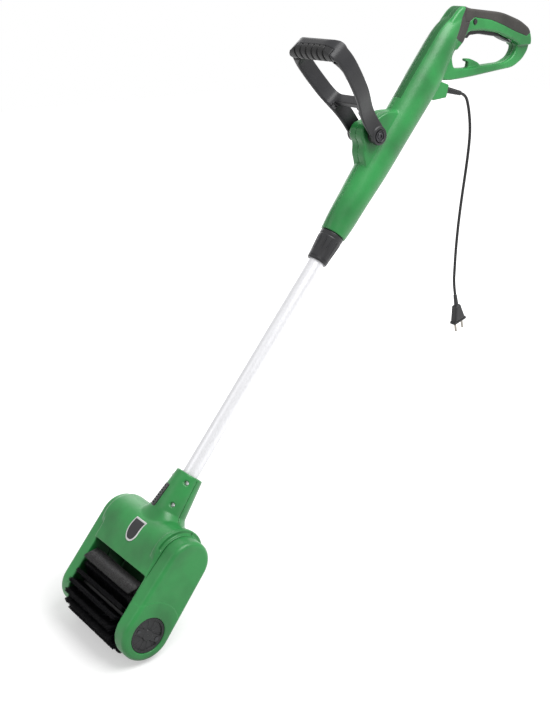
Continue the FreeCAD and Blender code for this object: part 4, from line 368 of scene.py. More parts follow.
def plastic(name, colour, rough, grain, depth, scuffs, dust, light_share=1.35, sheen=0.0, shine=0.45):
    """Moulded plastic or rubber: flow tone, pale scuffs and edges, dust, grain, and painted shade that
    darkens the colour in hollows.
    """
    tree, shader = shaded(name, colour, Roughness=rough, Specular_IOR_Level=shine)
    surface = place_group(tree, bpy.data.node_groups["Moulded Surface"], Grain_Size=grain, Scuffs=scuffs)
    edges = place_group(tree, bpy.data.node_groups["Worn Edges"], Amount=0.35)
    film = place_group(tree, bpy.data.node_groups["Fine Dust"], Amount=dust)
    deep = tuple(channel * 0.86 for channel in colour)
    pale = tuple(min(1.0, channel * light_share) for channel in colour)
    worn = tuple(channel * 0.75 + 0.10 for channel in colour)
    tone = mixed(tree, ramp(tree, surface.outputs["Flow"], 0.35, 0.65), deep, pale)
    tone = mixed(tree, surface.outputs["Scuff Mask"], tone, worn)
    tone = mixed(tree, edges.outputs["Mask"], tone, worn)
    tone = mixed(tree, film.outputs["Mask"], tone, (0.42, 0.40, 0.36))
    # painted shade: ambient occlusion darkens the colour towards near black in hollows, creases and between
    # parts
    hollow_shade = add(tree, "ShaderNodeAmbientOcclusion", Distance=0.04).outputs["AO"]
    tone = mixed(tree, ramp(tree, hollow_shade, 0.86, 0.15), tone, tuple(channel * 0.12 for channel in colour))
    tree.links.new(tone, shader.inputs["Base Color"])
    spread = maths(tree, "MULTIPLY", maths(tree, "SUBTRACT", surface.outputs["Flow"], 0.5), 0.16)
    gloss = maths(tree, "ADD", maths(tree, "ADD", spread, rough),
                  maths(tree, "MULTIPLY", film.outputs["Mask"], 0.3))
    tree.links.new(gloss, shader.inputs["Roughness"])
    bumped(tree, shader, surface.outputs["Height"], 0.35, depth)
    if sheen:
        shader.inputs["Sheen Weight"].default_value = sheen
        shader.inputs["Sheen Roughness"].default_value = 0.4


def side_of(tree, place, spot, inward, soft):
    """1 inside a slanted edge and 0 outside, over a soft width; the spot and the width are in mm."""
    shift = add(tree, "ShaderNodeVectorMath", operation="SUBTRACT")
    tree.links.new(place, shift.inputs[0])
    shift.inputs[1].default_value = (0.0, spot[0] * MM, spot[1] * MM)
    along = add(tree, "ShaderNodeVectorMath", operation="DOT_PRODUCT")
    tree.links.new(shift.outputs["Vector"], along.inputs[0])
    along.inputs[1].default_value = (0.0, inward[0], inward[1])
    return ramp(tree, along.outputs["Value"], -soft * MM, soft * MM)


def tail_group():
    """A mask of the soft grip's tail on the housing's flanks, bounded by three slanted edges."""
    group, _, end = new_group("Grip Tail", [], [("Mask", "NodeSocketFloat")])
    place = add(group, "ShaderNodeTexCoord").outputs["Object"]
    mask = side_of(group, place, (-105.8, 24.7), (0.888, -0.460), 0.35)
    for spot, inward in (((-129.7, -21.4), (0.395, 0.919)), ((-101.2, -21.8), (-0.929, 0.371))):
        mask = maths(group, "MULTIPLY", mask, side_of(group, place, spot, inward, 0.35))
    group.links.new(mask, end.inputs["Mask"])


def front_shade_group():
    """A mask of the raised strip down the housing's front, where painted shade is laid: narrow in x, in front
    only, down to its foot.
    """
    group, _, end = new_group("Front Strip Shade", [], [("Mask", "NodeSocketFloat")])
    place = add(group, "ShaderNodeTexCoord").outputs["Object"]
    parts = add(group, "ShaderNodeSeparateXYZ")
    group.links.new(place, parts.inputs[0])
    mask = ramp(group, maths(group, "ABSOLUTE", parts.outputs["X"]), 0.0098, 0.0090)
    for y, z, direction in ((-8.0, 1000.0, -BEHIND), (0.0, STRIP_FOOT, ALONG)):
        spot = on_stick([0.0, y, z]) / MM
        mask = maths(group, "MULTIPLY", mask,
                     side_of(group, place, (spot[1], spot[2]), (direction[1], direction[2]), 0.4))
    group.links.new(mask, end.inputs["Mask"])


def hood_shade_group():
    """A mask of painted shade inside the hood, between its walls' inner faces, stronger towards the barrel.
    """
    group, _, end = new_group("Hood Shade", [], [("Mask", "NodeSocketFloat")])
    place = add(group, "ShaderNodeTexCoord").outputs["Object"]
    parts = add(group, "ShaderNodeSeparateXYZ")
    group.links.new(place, parts.inputs[0])
    across = maths(group, "ABSOLUTE", parts.outputs["X"])
    mask = ramp(group, across, 0.0762, 0.0754)
    for y, inward in ((-41.5, 1), (41.5, -1)):
        spot = on_stick([0.0, y, 0.0]) / MM
        facing = (inward * BEHIND[1], inward * BEHIND[2])
        mask = maths(group, "MULTIPLY", mask, side_of(group, place, (spot[1], spot[2]), facing, 1.0))
    for z, upward, soft in ((34.0, 1, 24.0), (102.0, -1, 0.5)):
        spot = on_stick([0.0, 0.0, z]) / MM
        facing = (upward * ALONG[1], upward * ALONG[2])
        mask = maths(group, "MULTIPLY", mask, side_of(group, place, (spot[1], spot[2]), facing, soft))
    group.links.new(mask, end.inputs["Mask"])


def ring_group():
    """A raised round about the brush axle on the belt cover, from the distance to the axle."""
    group, _, end = new_group("Axle Round", [], [("Height", "NodeSocketFloat")])
    place = add(group, "ShaderNodeTexCoord").outputs["Object"]
    flat = add(group, "ShaderNodeVectorMath", operation="MULTIPLY")
    flat.inputs[1].default_value = (0.0, 1.0, 1.0)
    group.links.new(place, flat.inputs[0])
    reach = add(group, "ShaderNodeVectorMath", operation="DISTANCE")
    group.links.new(flat.outputs["Vector"], reach.inputs[0])
    reach.inputs[1].default_value = tuple(on_stick([0.0, 0.0, 0.0]))
    group.links.new(ramp(group, reach.outputs["Value"], 0.0585, 0.0565), end.inputs["Height"])


def laid_over(name, source, group, output, colour, rough, height):
    """A copy of a plastic with a group's mask laid over it as another colour and a step."""
    material = bpy.data.materials[source].copy()
    material.name = name
    tree = material.node_tree
    shader = tree.nodes["Principled BSDF"]
    mask = place_group(tree, bpy.data.node_groups[group]).outputs[output]
    if colour:
        below = shader.inputs["Base Color"].links[0].from_socket
        tree.links.new(mixed(tree, mask, below, colour), shader.inputs["Base Color"])
        gloss = shader.inputs["Roughness"].links[0].from_socket
        more = maths(tree, "MULTIPLY", mask, rough)
        tree.links.new(maths(tree, "ADD", gloss, more), shader.inputs["Roughness"])
    first = shader.inputs["Normal"].links[0].from_node
    step = add(tree, "ShaderNodeBump", Strength=1.0, Distance=height * MM)
    tree.links.new(mask, step.inputs["Height"])
    if first.inputs["Normal"].is_linked:
        tree.links.new(first.inputs["Normal"].links[0].from_socket, step.inputs["Normal"])
    tree.links.new(step.outputs["Normal"], first.inputs["Normal"])


def metal(name, colour, rough, along, stretch, stains=0.25):
    """Drawn or rolled metal: fine lines stretched along one direction, and soft stains."""
    tree, shader = shaded(name, colour, Metallic=1.0, Roughness=rough)
    place = add(tree, "ShaderNodeTexCoord").outputs["Object"]
    turn = add(tree, "ShaderNodeMapping")
    turn.inputs["Rotation"].default_value = along
    turn.inputs["Scale"].default_value = stretch
    tree.links.new(place, turn.inputs["Vector"])
    lines = noise(tree, turn.outputs["Vector"], 900.0, 3.0, 0.6)
    stain = noise(tree, place, 16.0, 3.0, 0.6)
    dark = tuple(channel * 0.8 for channel in colour)
    tone = mixed(tree, ramp(tree, lines, 0.3, 0.7), dark, colour)
    tone = mixed(tree, maths(tree, "MULTIPLY", ramp(tree, stain, 0.55, 0.75), stains), tone, dark)
    tree.links.new(tone, shader.inputs["Base Color"])
    gloss = maths(tree, "ADD", maths(tree, "MULTIPLY", ramp(tree, lines, 0.3, 0.7), 0.14), rough - 0.07)
    tree.links.new(gloss, shader.inputs["Roughness"])
    bumped(tree, shader, lines, 0.25, 0.02)


def windings(name, colour):
    """Enamelled copper wire: fine turns side by side under glossy varnish."""
    tree, shader = shaded(name, colour, Metallic=0.9, Roughness=0.3)
    place = add(tree, "ShaderNodeTexCoord").outputs["Object"]
    wave = add(tree, "ShaderNodeTexWave", Scale=420.0, Distortion=1.5, Detail=1.0)
    tree.links.new(place, wave.inputs["Vector"])
    tone = mixed(tree, wave.outputs["Fac"], tuple(channel * 0.45 for channel in colour), colour)
    tree.links.new(tone, shader.inputs["Base Color"])
    bumped(tree, shader, wave.outputs["Fac"], 0.6, 0.2)


def bristle_finish(name, colour, shine):
    """Nylon bristle: a colour with fine light and dark spots, under thin dusty clouds."""
    tree, shader = shaded(name, colour, Roughness=0.5, Specular_IOR_Level=shine)
    place = add(tree, "ShaderNodeTexCoord").outputs["Object"]
    one = noise(tree, place, 700.0, 2.0, 0.6)
    cloud = noise(tree, place, 40.0, 2.0, 0.5)
    tone = mixed(tree, ramp(tree, one, 0.35, 0.7), tuple(channel * 0.5 for channel in colour),
                 tuple(min(1.0, channel * 2.2) for channel in colour))
    tone = mixed(tree, maths(tree, "MULTIPLY", ramp(tree, cloud, 0.5, 0.8), 0.08), tone, (0.10, 0.10, 0.10))
    tree.links.new(tone, shader.inputs["Base Color"])
    bumped(tree, shader, one, 0.3, 0.1)


class Finishes(bpy.types.PropertyGroup):
    """Colours of the finishes"""
    green: FloatVectorProperty(name="Shell green", description="Colour of the moulded shells",
                               subtype="COLOR", size=3, min=0, max=1, default=(0.017, 0.200, 0.044))
    black: FloatVectorProperty(name="Black plastic", description="Handles, collar and plug",
                               subtype="COLOR", size=3, min=0, max=1, default=(0.017, 0.017, 0.019))
    grip: FloatVectorProperty(name="Soft grip", description="Rubber of the grips",
                              subtype="COLOR", size=3, min=0, max=1, default=(0.037, 0.035, 0.032))
    bristle: FloatVectorProperty(name="Bristle", description="Colour of the bristles",
                                 subtype="COLOR", size=3, min=0, max=1, default=(0.004, 0.004, 0.005))
    silver: FloatVectorProperty(name="Tube", description="Anodised aluminium",
                                subtype="COLOR", size=3, min=0, max=1, default=(0.74, 0.74, 0.76))


class TubeSizes(bpy.types.PropertyGroup):
    """Sizes of the tube"""
    radius: FloatProperty(name="Radius", description="Outside of the tube", subtype="DISTANCE",
                          unit="LENGTH", default=0.014)
    wall: FloatProperty(name="Wall", description="Wall of the tube", subtype="DISTANCE",
                        unit="LENGTH", default=0.0015)
    foot: FloatProperty(name="Foot", description="Height of its lower end above the brush axle",
                        subtype="DISTANCE", unit="LENGTH", default=0.177)
    top: FloatProperty(name="Top", description="Height of its upper end above the brush axle",
                       subtype="DISTANCE", unit="LENGTH", default=0.844)


class BrushSizes(bpy.types.PropertyGroup):
    """Sizes and counts of the brush"""
    rows: IntProperty(name="Rows", description="Rows of bristles round the core", default=16, min=4)
    per_row: IntProperty(name="Bristles in a row", description="Bristles along one line", default=165)
    deep: IntProperty(name="Lines in a row", description="Lines of bristles side by side", default=4)
    radius: FloatProperty(name="Radius", description="Bristle tips from the axle",
                          subtype="DISTANCE", unit="LENGTH", default=0.053)
    core: FloatProperty(name="Core radius", description="Outside of the core",
                        subtype="DISTANCE", unit="LENGTH", default=0.022)
    half_length: FloatProperty(name="Half length", description="Half the brush's length",
                               subtype="DISTANCE", unit="LENGTH", default=0.072)


class StageValues(bpy.types.PropertyGroup):
    """Strengths of the lights"""
    key: FloatProperty(name="Key light", description="Power of the large soft lamp",
                       subtype="POWER", unit="POWER", default=84.0)
    fill: FloatProperty(name="Fill light", description="Power of the two weak soft lamps",
                        subtype="POWER", unit="POWER", default=9.0)
    sky: FloatProperty(name="Sky", description="Strength of the even light from all round",
                       default=0.42, min=0)


def setting(name):
    """The scene's values of one property group."""
    return getattr(bpy.context.scene, "patio_" + name)


class MakeFinishes(bpy.types.Operator):
    """Makes every material of the part and gives the shown CAD pieces theirs"""
    bl_idname = "patio.finishes"
    bl_label = "Finishes"

    def execute(self, context):
        moulding_group()
        edge_group()
        dust_group()
        tail_group()
        front_shade_group()
        hood_shade_group()
        ring_group()
        tones = setting("finishes")
        plastic("Green shell", tuple(tones.green), 0.36, 1500.0, 0.06, 0.5, 0.03)
        plastic("Black plastic", tuple(tones.black), 0.40, 1700.0, 0.08, 0.5, 0.02, shine=0.34)
        plastic("Soft grip", tuple(tones.grip), 0.66, 1100.0, 0.12, 0.4, 0.05, sheen=0.08, shine=0.3)
        plastic("Cable sheath", (0.014, 0.014, 0.015), 0.48, 1300.0, 0.06, 0.3, 0.02, shine=0.3)
        plastic("Belt rubber", (0.02, 0.02, 0.02), 0.7, 900.0, 0.1, 0.3, 0.1)
        plastic("Natural nylon", (0.62, 0.60, 0.55), 0.45, 1500.0, 0.05, 0.2, 0.03, light_share=1.08)
        plastic("Carbon", (0.035, 0.035, 0.04), 0.6, 1900.0, 0.1, 0.2, 0.05)
        plastic("Capacitor case", (0.70, 0.60, 0.08), 0.35, 1500.0, 0.03, 0.2, 0.02, light_share=1.1)
        # painted shade: a much darker green on the front strip, the face turned away from the key light; the
        # strip's step is real relief
        deep = (tones.green[0] * 0.2, tones.green[1] * 0.5, tones.green[2] * 0.4)
        laid_over("Green front shade", "Green shell", "Front Strip Shade", "Mask", deep, 0.1, 1.0)
        laid_over("Housing green", "Green front shade", "Grip Tail", "Mask", tuple(tones.grip), 0.3, 0.9)
        # painted shade: the inside of the hood is laid near-black green, darker towards the barrel
        laid_over("Head green hood shade", "Green shell", "Hood Shade", "Mask", (0.001, 0.008, 0.003), 0.3, 0.0)
        laid_over("Cover green", "Green shell", "Axle Round", "Height", None, 0, 0.8)
        metal("Black steel", (0.07, 0.07, 0.075), 0.38, (0, 0, 0), (1.0, 0.2, 1.0))
        metal("Tube aluminium", tuple(tones.silver), 0.46, (-LEAN, 0, 0), (1.0, 1.0, 0.01), 0.08)
        metal("Screw steel", (0.56, 0.56, 0.57), 0.34, (0, 0, 0), (1.0, 0.1, 1.0))
        metal("Plug metal", (0.30, 0.28, 0.25), 0.3, (0, 0, 0), (1.0, 1.0, 0.1))
        metal("Plate metal", (0.60, 0.60, 0.60), 0.36, (0, 0, 0), (0.05, 1.0, 1.0))
        windings("Copper wire", (0.60, 0.26, 0.10))
        bristle_finish("Bristle", tuple(tones.bristle), 0.10)
        # painted light: a paler, shinier copy of the bristle colour for the bent row, standing in for light
        # falling on its face
        bristle_finish("Bristle painted lit", (0.070, 0.069, 0.070), 0.4)
        of_slot = {
            "green_shell": "Green shell", "black_plastic": "Black plastic",
            "natural_nylon": "Natural nylon", "soft_grip": "Soft grip",
            "black_cable": "Cable sheath", "belt_rubber": "Belt rubber",
            "tube_aluminium": "Tube aluminium", "plug_metal": "Plug metal",
            "steel": "Screw steel", "copper": "Copper wire", "carbon": "Carbon",
            "capacitor_case": "Capacitor case", "bristle": "Bristle",
        }
        for row in frame["record"]["subparts"]:
            node = frame["nodes"][row["node"]]
            node.data.materials.clear()
            node.data.materials.append(bpy.data.materials[of_slot[row["material_slot"]]])
        for name in ("pivot_bolt", "pivot_nut", "axle_cap_screws"):
            frame["nodes"][name].data.materials[0] = bpy.data.materials["Black steel"]
        return {"FINISHED"}


class MakeCord(bpy.types.Operator):
    """The mains cord, its strain relief and its plug"""
    bl_idname = "patio.cord"
    bl_label = "Cord and plug"

    def execute(self, context):
        route = np.array([
            (-0.08731, -0.12070), (-0.07121, -0.12437), (-0.06091, -0.14740), (-0.05371, -0.17790),
            (-0.05171, -0.20290), (-0.05351, -0.23490), (-0.05691, -0.26790), (-0.06281, -0.31490),
            (-0.06791, -0.36590), (-0.07051, -0.41990), (-0.07021, -0.45990), (-0.06991, -0.48800),
            (-0.06361, -0.51320),
        ])
        curve = bpy.data.curves.new("Mains cord", "CURVE")
        curve.dimensions = "3D"
        curve.bevel_depth = CORD_RADIUS * MM
        curve.bevel_resolution = 6
        curve.use_fill_caps = True
        curve.resolution_u = 12
        spline = curve.splines.new("NURBS")
        spline.points.add(len(route) - 1)
        points = np.zeros((len(route), 4), np.float32)
        points[:, 1:3] = route
        points[:, 3] = 1
        spline.points.foreach_set("co", points.ravel())
        spline.order_u = 3
        spline.use_endpoint_u = True
        curve.materials.append(bpy.data.materials["Cable sheath"])
        cord = bpy.data.objects.new("mains_cord", curve)
        context.scene.collection.objects.link(cord)
        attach(cord, "root")
        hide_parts("power_cord")
        relief_sleeve()
        plug = plug_moulding()
        return {"FINISHED"}


def ribbed(length, root, tip, ribs, depth):
    """A tapered sleeve's profile with soft ribs: the radius falls evenly and dips between the ribs."""
    along = np.linspace(0, 1, 12 * ribs + 1)
    radius = root + (tip - root) * along
    wave = 0.5 - 0.5 * np.cos(2 * math.pi * along * ribs)
    radius = radius - depth * np.clip(wave * 1.8 - 0.9, 0, 1)
    return np.stack([radius, along * length], -1)


def relief_sleeve():
    """The strain relief at the housing, out along the cord's first direction."""
    place = on_line((0, -130.5, -110.84), (0, 0.9749, -0.2225))
    outer = ribbed(44.3, 6.1, 4.4, 8, 0.9)
    profile = np.concatenate([[(2.0, -9.0), (4.0, -9.0), (4.0, -0.2), (6.2, 0.0)], outer, [(2.0, 44.3)]])
    points, quads = turned(profile, 40)
    mesh = mesh_from("Strain relief", place(points), quads)
    put("cord_relief", mesh, "root", "Cable sheath", ["cord_gland"], 50)


def plug_moulding():
    """The plug: the CAD moulding with its edges softened."""
    return moulded("plug_moulding", ["plug_body"], "root", "Black plastic", 0.45, 3)


class MakeTube(bpy.types.Operator):
    """The aluminium tube"""
    bl_idname = "patio.tube"
    bl_label = "Tube"

    def execute(self, context):
        sizes = setting("tube")
        outer = sizes.radius / MM
        inner = outer - sizes.wall / MM
        foot, top = sizes.foot / MM, sizes.top / MM
        profile = [(inner, foot), (outer - 0.3, foot), (outer, foot + 0.3), (outer, top - 0.3),
                   (outer - 0.3, top), (inner, top)]
        points, quads = turned(profile, 96)
        mesh = mesh_from("Tube", on_stick(points), quads)
        put("tube", mesh, "head", "Tube aluminium", ["aluminium_tube"], 40)
        return {"FINISHED"}


class MakeCollar(bpy.types.Operator):
    """The lock collar: a cone with soft grooves all round and a lip at each end"""
    bl_idname = "patio.collar"
    bl_label = "Lock collar"

    def execute(self, context):
        around = np.linspace(0, 2 * math.pi, COLLAR_STEPS, endpoint=False)
        height = np.concatenate([[0, 0.5, 1.6], np.linspace(3, 53, 61), [54.2, 55.2, 55.6]])[:, None]
        share = height / 56
        base = 18.6 + 2.9 * smooth_step(share, 0.0, 0.9)
        base = base - 1.3 * (1 - smooth_step(height, 0, 1.6)) - 1.0 * smooth_step(height, 54.2, 55.6)
        band = smooth_step(height, 8, 13) * (1 - smooth_step(height, 40, 45))
        wave = np.cos(around * 12)
        groove = np.clip((wave - 0.35) / 0.65, 0, 1) ** 0.7
        notch = np.exp(-((height - 7) / 1.1) ** 2) * 0.7 + np.exp(-((height - 47.5) / 0.9) ** 2) * 0.8
        radius = base - 1.5 * groove * band - notch
        outer = np.stack([radius * np.cos(around), radius * np.sin(around),
                          COLLAR_FOOT + height + 0 * around], -1)
        inner_rows = [(18.9, 729.6), (18.9, 680.0), (14.4, 679.0), (14.4, 674.6)]
        inner, _ = turned(inner_rows, COLLAR_STEPS)
        points = np.concatenate([outer, inner])
        quads = grid_faces(len(points), COLLAR_STEPS, True, True)
        mesh = mesh_from("Collar", on_stick(points), quads)
        put("lock_sleeve", mesh, "collar", "Black plastic", ["lock_collar"], 55)
        return {"FINISHED"}


class MakeHousing(bpy.types.Operator):
    """The two green shells, the soft strip, the trigger and the dark strip behind it"""
    bl_idname = "patio.housing"
    bl_label = "Upper housing"

    def execute(self, context):
        for side in ("left", "right"):
            moulded(f"housing_{side}", [f"housing_{side}_shell"], "root", "Housing green",
                    1.35, 5)
        moulded("grip_strip", ["grip_overlay"], "root", "Soft grip", 1.0, 4)
        moulded("trigger_lever", ["trigger"], "trigger", "Black plastic", 0.7, 3, 0.45)
        guard_strip()
        return {"FINISHED"}


def guard_strip():
    """The dark strip that runs on behind the trigger: a flat oval carried along the opening's edge."""
    edge = np.array([(4.0, -24.6), (9.0, -26.2), (16.0, -28.6), (24.0, -31.2), (31.0, -33.6), (36.0, -36.0)])
    height = np.array([0.4, 2.2, 2.6, 2.6, 2.2, 0.4])
    angle = np.linspace(0, 2 * math.pi, OVAL_STEPS, endpoint=False)
    x = 8.5 * np.sign(np.cos(angle)) * np.abs(np.cos(angle)) ** 0.5
    lift = np.sin(angle)[None, :] * height[:, None]
    points = np.stack([x + 0 * lift, edge[:, :1] - 0.3 * lift, edge[:, 1:] + lift], -1) * MM
    mesh = mesh_from("Guard strip", points, grid_faces(len(edge), OVAL_STEPS, False, True))
    put("guard_strip", mesh, "root", "Black plastic", (), 50)


class MakeFrontHandle(bpy.types.Operator):
    """The front handle, its ribbed insert and the cap over its bolt"""
    bl_idname = "patio.front_handle"
    bl_label = "Front handle"

    def execute(self, context):
        moulded("bail_handle", ["front_handle"], "front_handle", "Black plastic",
                1.1, 14)
        moulded("bail_insert", ["front_grip_insert"], "front_handle", "Cable sheath", 0.7, 3)
        bolt_cap()
        return {"FINISHED"}


def bolt_cap():
    """The cap over the bolt's head in the near eye: raised rings turned about the bolt."""
    profile = [(0.3, 31.0), (2.6, 31.0), (3.2, 32.2), (3.4, 34.2), (5.0, 34.6), (5.6, 34.0), (5.9, 33.0),
               (8.1, 32.8), (8.5, 34.0), (9.1, 34.7), (10.1, 34.5), (10.4, 33.6), (10.4, 29.4), (8.2, 29.4)]
    points, quads = turned(profile, 72, False)
    points = about_x(points) + np.array([0.0, BOLT[0], BOLT[1]])
    mesh = mesh_from("Bolt cap", on_stick(points), quads)
    put("bolt_cap", mesh, "front_handle", "Black steel", (), 50)


class MakeHead(bpy.types.Operator):
    """The head's green shells, the belt cover, the vent panel, the axle cap and the bare shield"""
    bl_idname = "patio.head"
    bl_label = "Head"

    def execute(self, context):
        moulded("head_front", ["head_front_shell"], "head", "Head green hood shade", 1.35, 5)
        moulded("head_rear", ["head_rear_shell"], "head", "Head green hood shade", 1.35, 5)
        moulded("belt_housing", ["belt_cover"], "head", "Cover green", 1.2, 4)
        moulded("neck_louvre", ["neck_vent"], "head", "Black plastic", 0.5, 1)
        axle_cap()
        badge("badge_rim", 1.0, 0.35, "Plate metal")
        badge("badge_face", 0.86, 0.55, "Black plastic")
        return {"FINISHED"}


def axle_cap():
    """The axle's cap: a disc whose face dips between rim and hub, less at a bar, with two wells."""
    angle = np.linspace(0, 2 * math.pi, CAP_STEPS, endpoint=False)
    radius = np.concatenate([np.linspace(0.5, 30.0, 60), [30.4]])[:, None]
    y = radius * np.cos(angle)
    z = radius * np.sin(angle)
    dip = smooth_step(radius, 8.5, 10.0) * (1 - smooth_step(radius, 25.4, 26.6))
    bar = 1 - smooth_step(np.abs(z), 5.6, 7.0)
    ribs = np.clip(np.cos(angle * 12) * 6 - 5, 0, 1) * 0.35
    screw = np.minimum(np.hypot(y - 20.5, z), np.hypot(y + 20.5, z))
    well = 1 - smooth_step(screw, 3.6, 4.0)
    face = CAP_FACE - 2.4 * dip * (1 - bar * 0.75) * (1 - ribs) - 0.35 * well
    face = face - 0.5 * np.exp(-((radius - 28.0) / 0.35) ** 2) - 0.7 * smooth_step(radius, 30.0, 30.4)
    front = np.stack([face + 0 * y, y, z], -1)
    back = np.stack([CAP_BACK + 0 * y[-1:], y[-1:], z[-1:]], -1)
    points = np.concatenate([front, back])
    quads = grid_faces(len(points), CAP_STEPS, False, True)
    mesh = mesh_from("Axle cap", on_stick(points), quads, outward=False)
    if mesh.polygons[0].normal.x < 0:
        mesh.flip_normals()
    put("cap_disc", mesh, "head", "Black plastic", ["axle_cap"], 40)


def badge(name, share, proud, material):
    """A bare shield on the barrel's front: its half width narrows towards the foot, bent to the radius."""
    height = np.linspace(-1, 1, BADGE_ROWS)[:, None]
    beside = np.linspace(-1, 1, BADGE_COLUMNS)
    half = np.sqrt(1 - np.clip(0.15 - height, 0, 1.15) ** 2.4 / 1.15 ** 2.4) * 15.5 * share
    across = half * beside
    middle = 1 - smooth_step(np.abs(beside), 0.94, 1.0)
    lift = middle * (1 - smooth_step(np.abs(height), 0.95, 1.0))
    radius = 46.4 + proud * lift
    rise = 2.0 + height * 21.0 * share + 0 * across
    turn = np.clip(rise, 0, None) / 46.5
    up = np.where(rise > 0, radius * np.sin(turn), rise)
    points = np.stack([1.0 + across, -radius * np.cos(turn), AXLE_SPACING + up], -1)
    quads = grid_faces(BADGE_ROWS, BADGE_COLUMNS, False, False)
    mesh = mesh_from(name, on_stick(points), quads, outward=False)
    if (mesh.polygons[BADGE_TEST_FACE].normal @ Vector(-BEHIND)) < 0:
        mesh.flip_normals()
    put(name, mesh, "head", material, (), 40)


class MakeBrush(bpy.types.Operator):
    """The roller brush: rows of separate bristles on a core"""
    bl_idname = "patio.brush"
    bl_label = "Brush"

    def execute(self, context):
        sizes = setting("brush")
        rng = np.random.default_rng(7)
        core = sizes.core / MM
        tip = sizes.radius / MM
        half = sizes.half_length / MM
        across = np.linspace(-half + 0.6, half - 0.6, sizes.per_row)
        deep = (np.arange(sizes.deep) - (sizes.deep - 1) / 2) * 1.15
        turn = math.radians(-2.0) + np.arange(sizes.rows) * 2 * math.pi / sizes.rows
        turn, deep, across = np.meshgrid(turn, deep, across, indexing="ij")
        turn, deep, across = turn.ravel(), deep.ravel(), across.ravel()
        count = len(turn)
        tuft = rng.normal(0, 0.35, count) + 0.5 * np.sin(across * 1.3 + turn * 9)
        across = across + rng.normal(0, 0.15, count)
        deep = deep + rng.normal(0, 0.12, count)
        length = tip - 0.5 - np.abs(rng.normal(0, 0.8, count))
        bent = np.abs(turn - BENT_TURN) < 0.1
        stray = (rng.random(count) < 0.12) & ~bent
        lean = rng.normal(0, 0.4, count) + stray * rng.normal(0, 2.2, count)
        sweep = deep * 0.45 + tuft * 0.7 + stray * rng.normal(0, 2.2, count)
        levels = np.array([0.0, 0.4, 0.75, 1.0])
        corner = np.array([0, 2 * math.pi / 3, 4 * math.pi / 3])
        radial = (core - 1) + levels[None, :] * (length - core + 1)[:, None]
        x = np.clip(across[:, None] + lean[:, None] * levels ** 2, -half, half)
        y = deep[:, None] + sweep[:, None] * levels ** 2
        radial = np.minimum(radial, np.sqrt(np.maximum(tip ** 2 - y ** 2, 0)) - 0.3)
        fold = deep[:, None] * np.array([0.0, 0.7, 1.0, 1.0])
        y = np.where(bent[:, None], np.array([4.0, 6.0, -4.0, -26.8]) + 0.8 * fold, y)
        radial = np.where(bent[:, None], np.array([core - 1, 56.0, 69.3, 60.2]) + fold, radial)
        ring_x = x[:, :, None] + BRISTLE_RADIUS * np.cos(corner)
        ring_y = y[:, :, None] + BRISTLE_RADIUS * np.sin(corner)
        ring_r = radial[:, :, None] + 0 * corner
        cos, sin = np.cos(turn)[:, None, None], np.sin(turn)[:, None, None]
        points = np.stack([ring_x, ring_y * cos + ring_r * sin, ring_r * cos - ring_y * sin], -1)
        bristle_mesh("bristles", points[~bent], "Bristle")
        # the bent row takes the paler copy of the bristle colour, which is painted light
        bristle_mesh("folded_row", points[bent], "Bristle painted lit")
        profile = [(5.0, -72.0), (20.5, -72.0), (22.0, -70.5), (22.0, 70.5), (20.5, 72.0), (5.0, 72.0)]
        points, quads = turned(profile, 96)
        mesh = mesh_from("Core", on_stick(about_x(points)), quads)
        put("brush_roller", mesh, "brush", "Black plastic", ["brush_core"], 40)
        return {"FINISHED"}


def bristle_mesh(name, points, material):
    """Three-sided bristles from their rings of points (bristle, level, corner, xyz), closed at the tips."""
    count, levels = points.shape[:2]
    start = np.arange(count)[:, None, None] * levels * 3
    side = np.array([(0, 1, 4, 3), (1, 2, 5, 4), (2, 0, 3, 5)])
    ring = (side[None] + 3 * np.arange(levels - 1)[:, None, None]).reshape(1, -1, 4)
    walls = (start + ring).reshape(-1, 4)
    caps = (start + 3 * (levels - 1) + np.array([[0, 1, 2]])[None]).reshape(-1, 3)
    mesh = bpy.data.meshes.new(name)
    mesh.from_pydata(on_stick(points.reshape(-1, 3)).tolist(), [], walls.tolist() + caps.tolist())
    put(name, mesh, "brush", material, ["bristle_rows"], 0)


class MakeStage(bpy.types.Operator):
    """Pale floor, soft lamps, white sky and the camera"""
    bl_idname = "patio.stage"
    bl_label = "Stage"

    def execute(self, context):
        scene = context.scene
        values = setting("stage")
        low = CAD_BOX[0][2]
        side = np.linspace(-6, 6, 3)
        x, y = np.meshgrid(side, side, indexing="ij")
        points = np.stack([x, y, 0 * x + low - 0.0005], -1)
        mesh = mesh_from("Floor", points, grid_faces(3, 3, False, False), outward=False)
        floor = bpy.data.objects.new("floor", mesh)
        scene.collection.objects.link(floor)
        mesh.materials.append(floor_material())
        white_sky(scene, values.sky)
        camera = bpy.data.cameras.new("Camera")
        camera.lens = LENS
        camera.sensor_width = SENSOR
        view = bpy.data.objects.new("Camera", camera)
        scene.collection.objects.link(view)
        right = Vector(CAMERA_RIGHT).normalized()
        back = Vector(CAMERA_BACK).normalized()
        up = back.cross(right)
        place = Matrix((right, up, back)).transposed().to_4x4()
        place.translation = Vector(CAMERA_PLACE)
        view.matrix_world = place
        scene.camera = view
        middle = Vector((0.0, -0.45, -0.45))
        lamp(scene, "Key", middle + right * 1.3 + back * 0.9 + Vector((0, 0, 2.0)), middle, 1.8, values.key)
        lamp(scene, "Fill", middle - right * 2.2 + back * 1.3 + Vector((0, 0, 0.9)), middle, 1.6, values.fill)
        lamp(scene, "Rim", middle - right * 0.6 - back * 2.0 + Vector((0, 0, 1.2)), middle, 1.2, values.fill)
        scene.view_settings.view_transform = "Standard"
        return {"FINISHED"}


def lamp(scene, name, place, target, size, power):
    """A square soft lamp aimed at a point."""
    light = bpy.data.lights.new(name, "AREA")
    light.size = size
    light.energy = power
    item = bpy.data.objects.new(name, light)
    scene.collection.objects.link(item)
    item.location = place
    item.rotation_euler = (target - place).to_track_quat("-Z", "Y").to_euler()


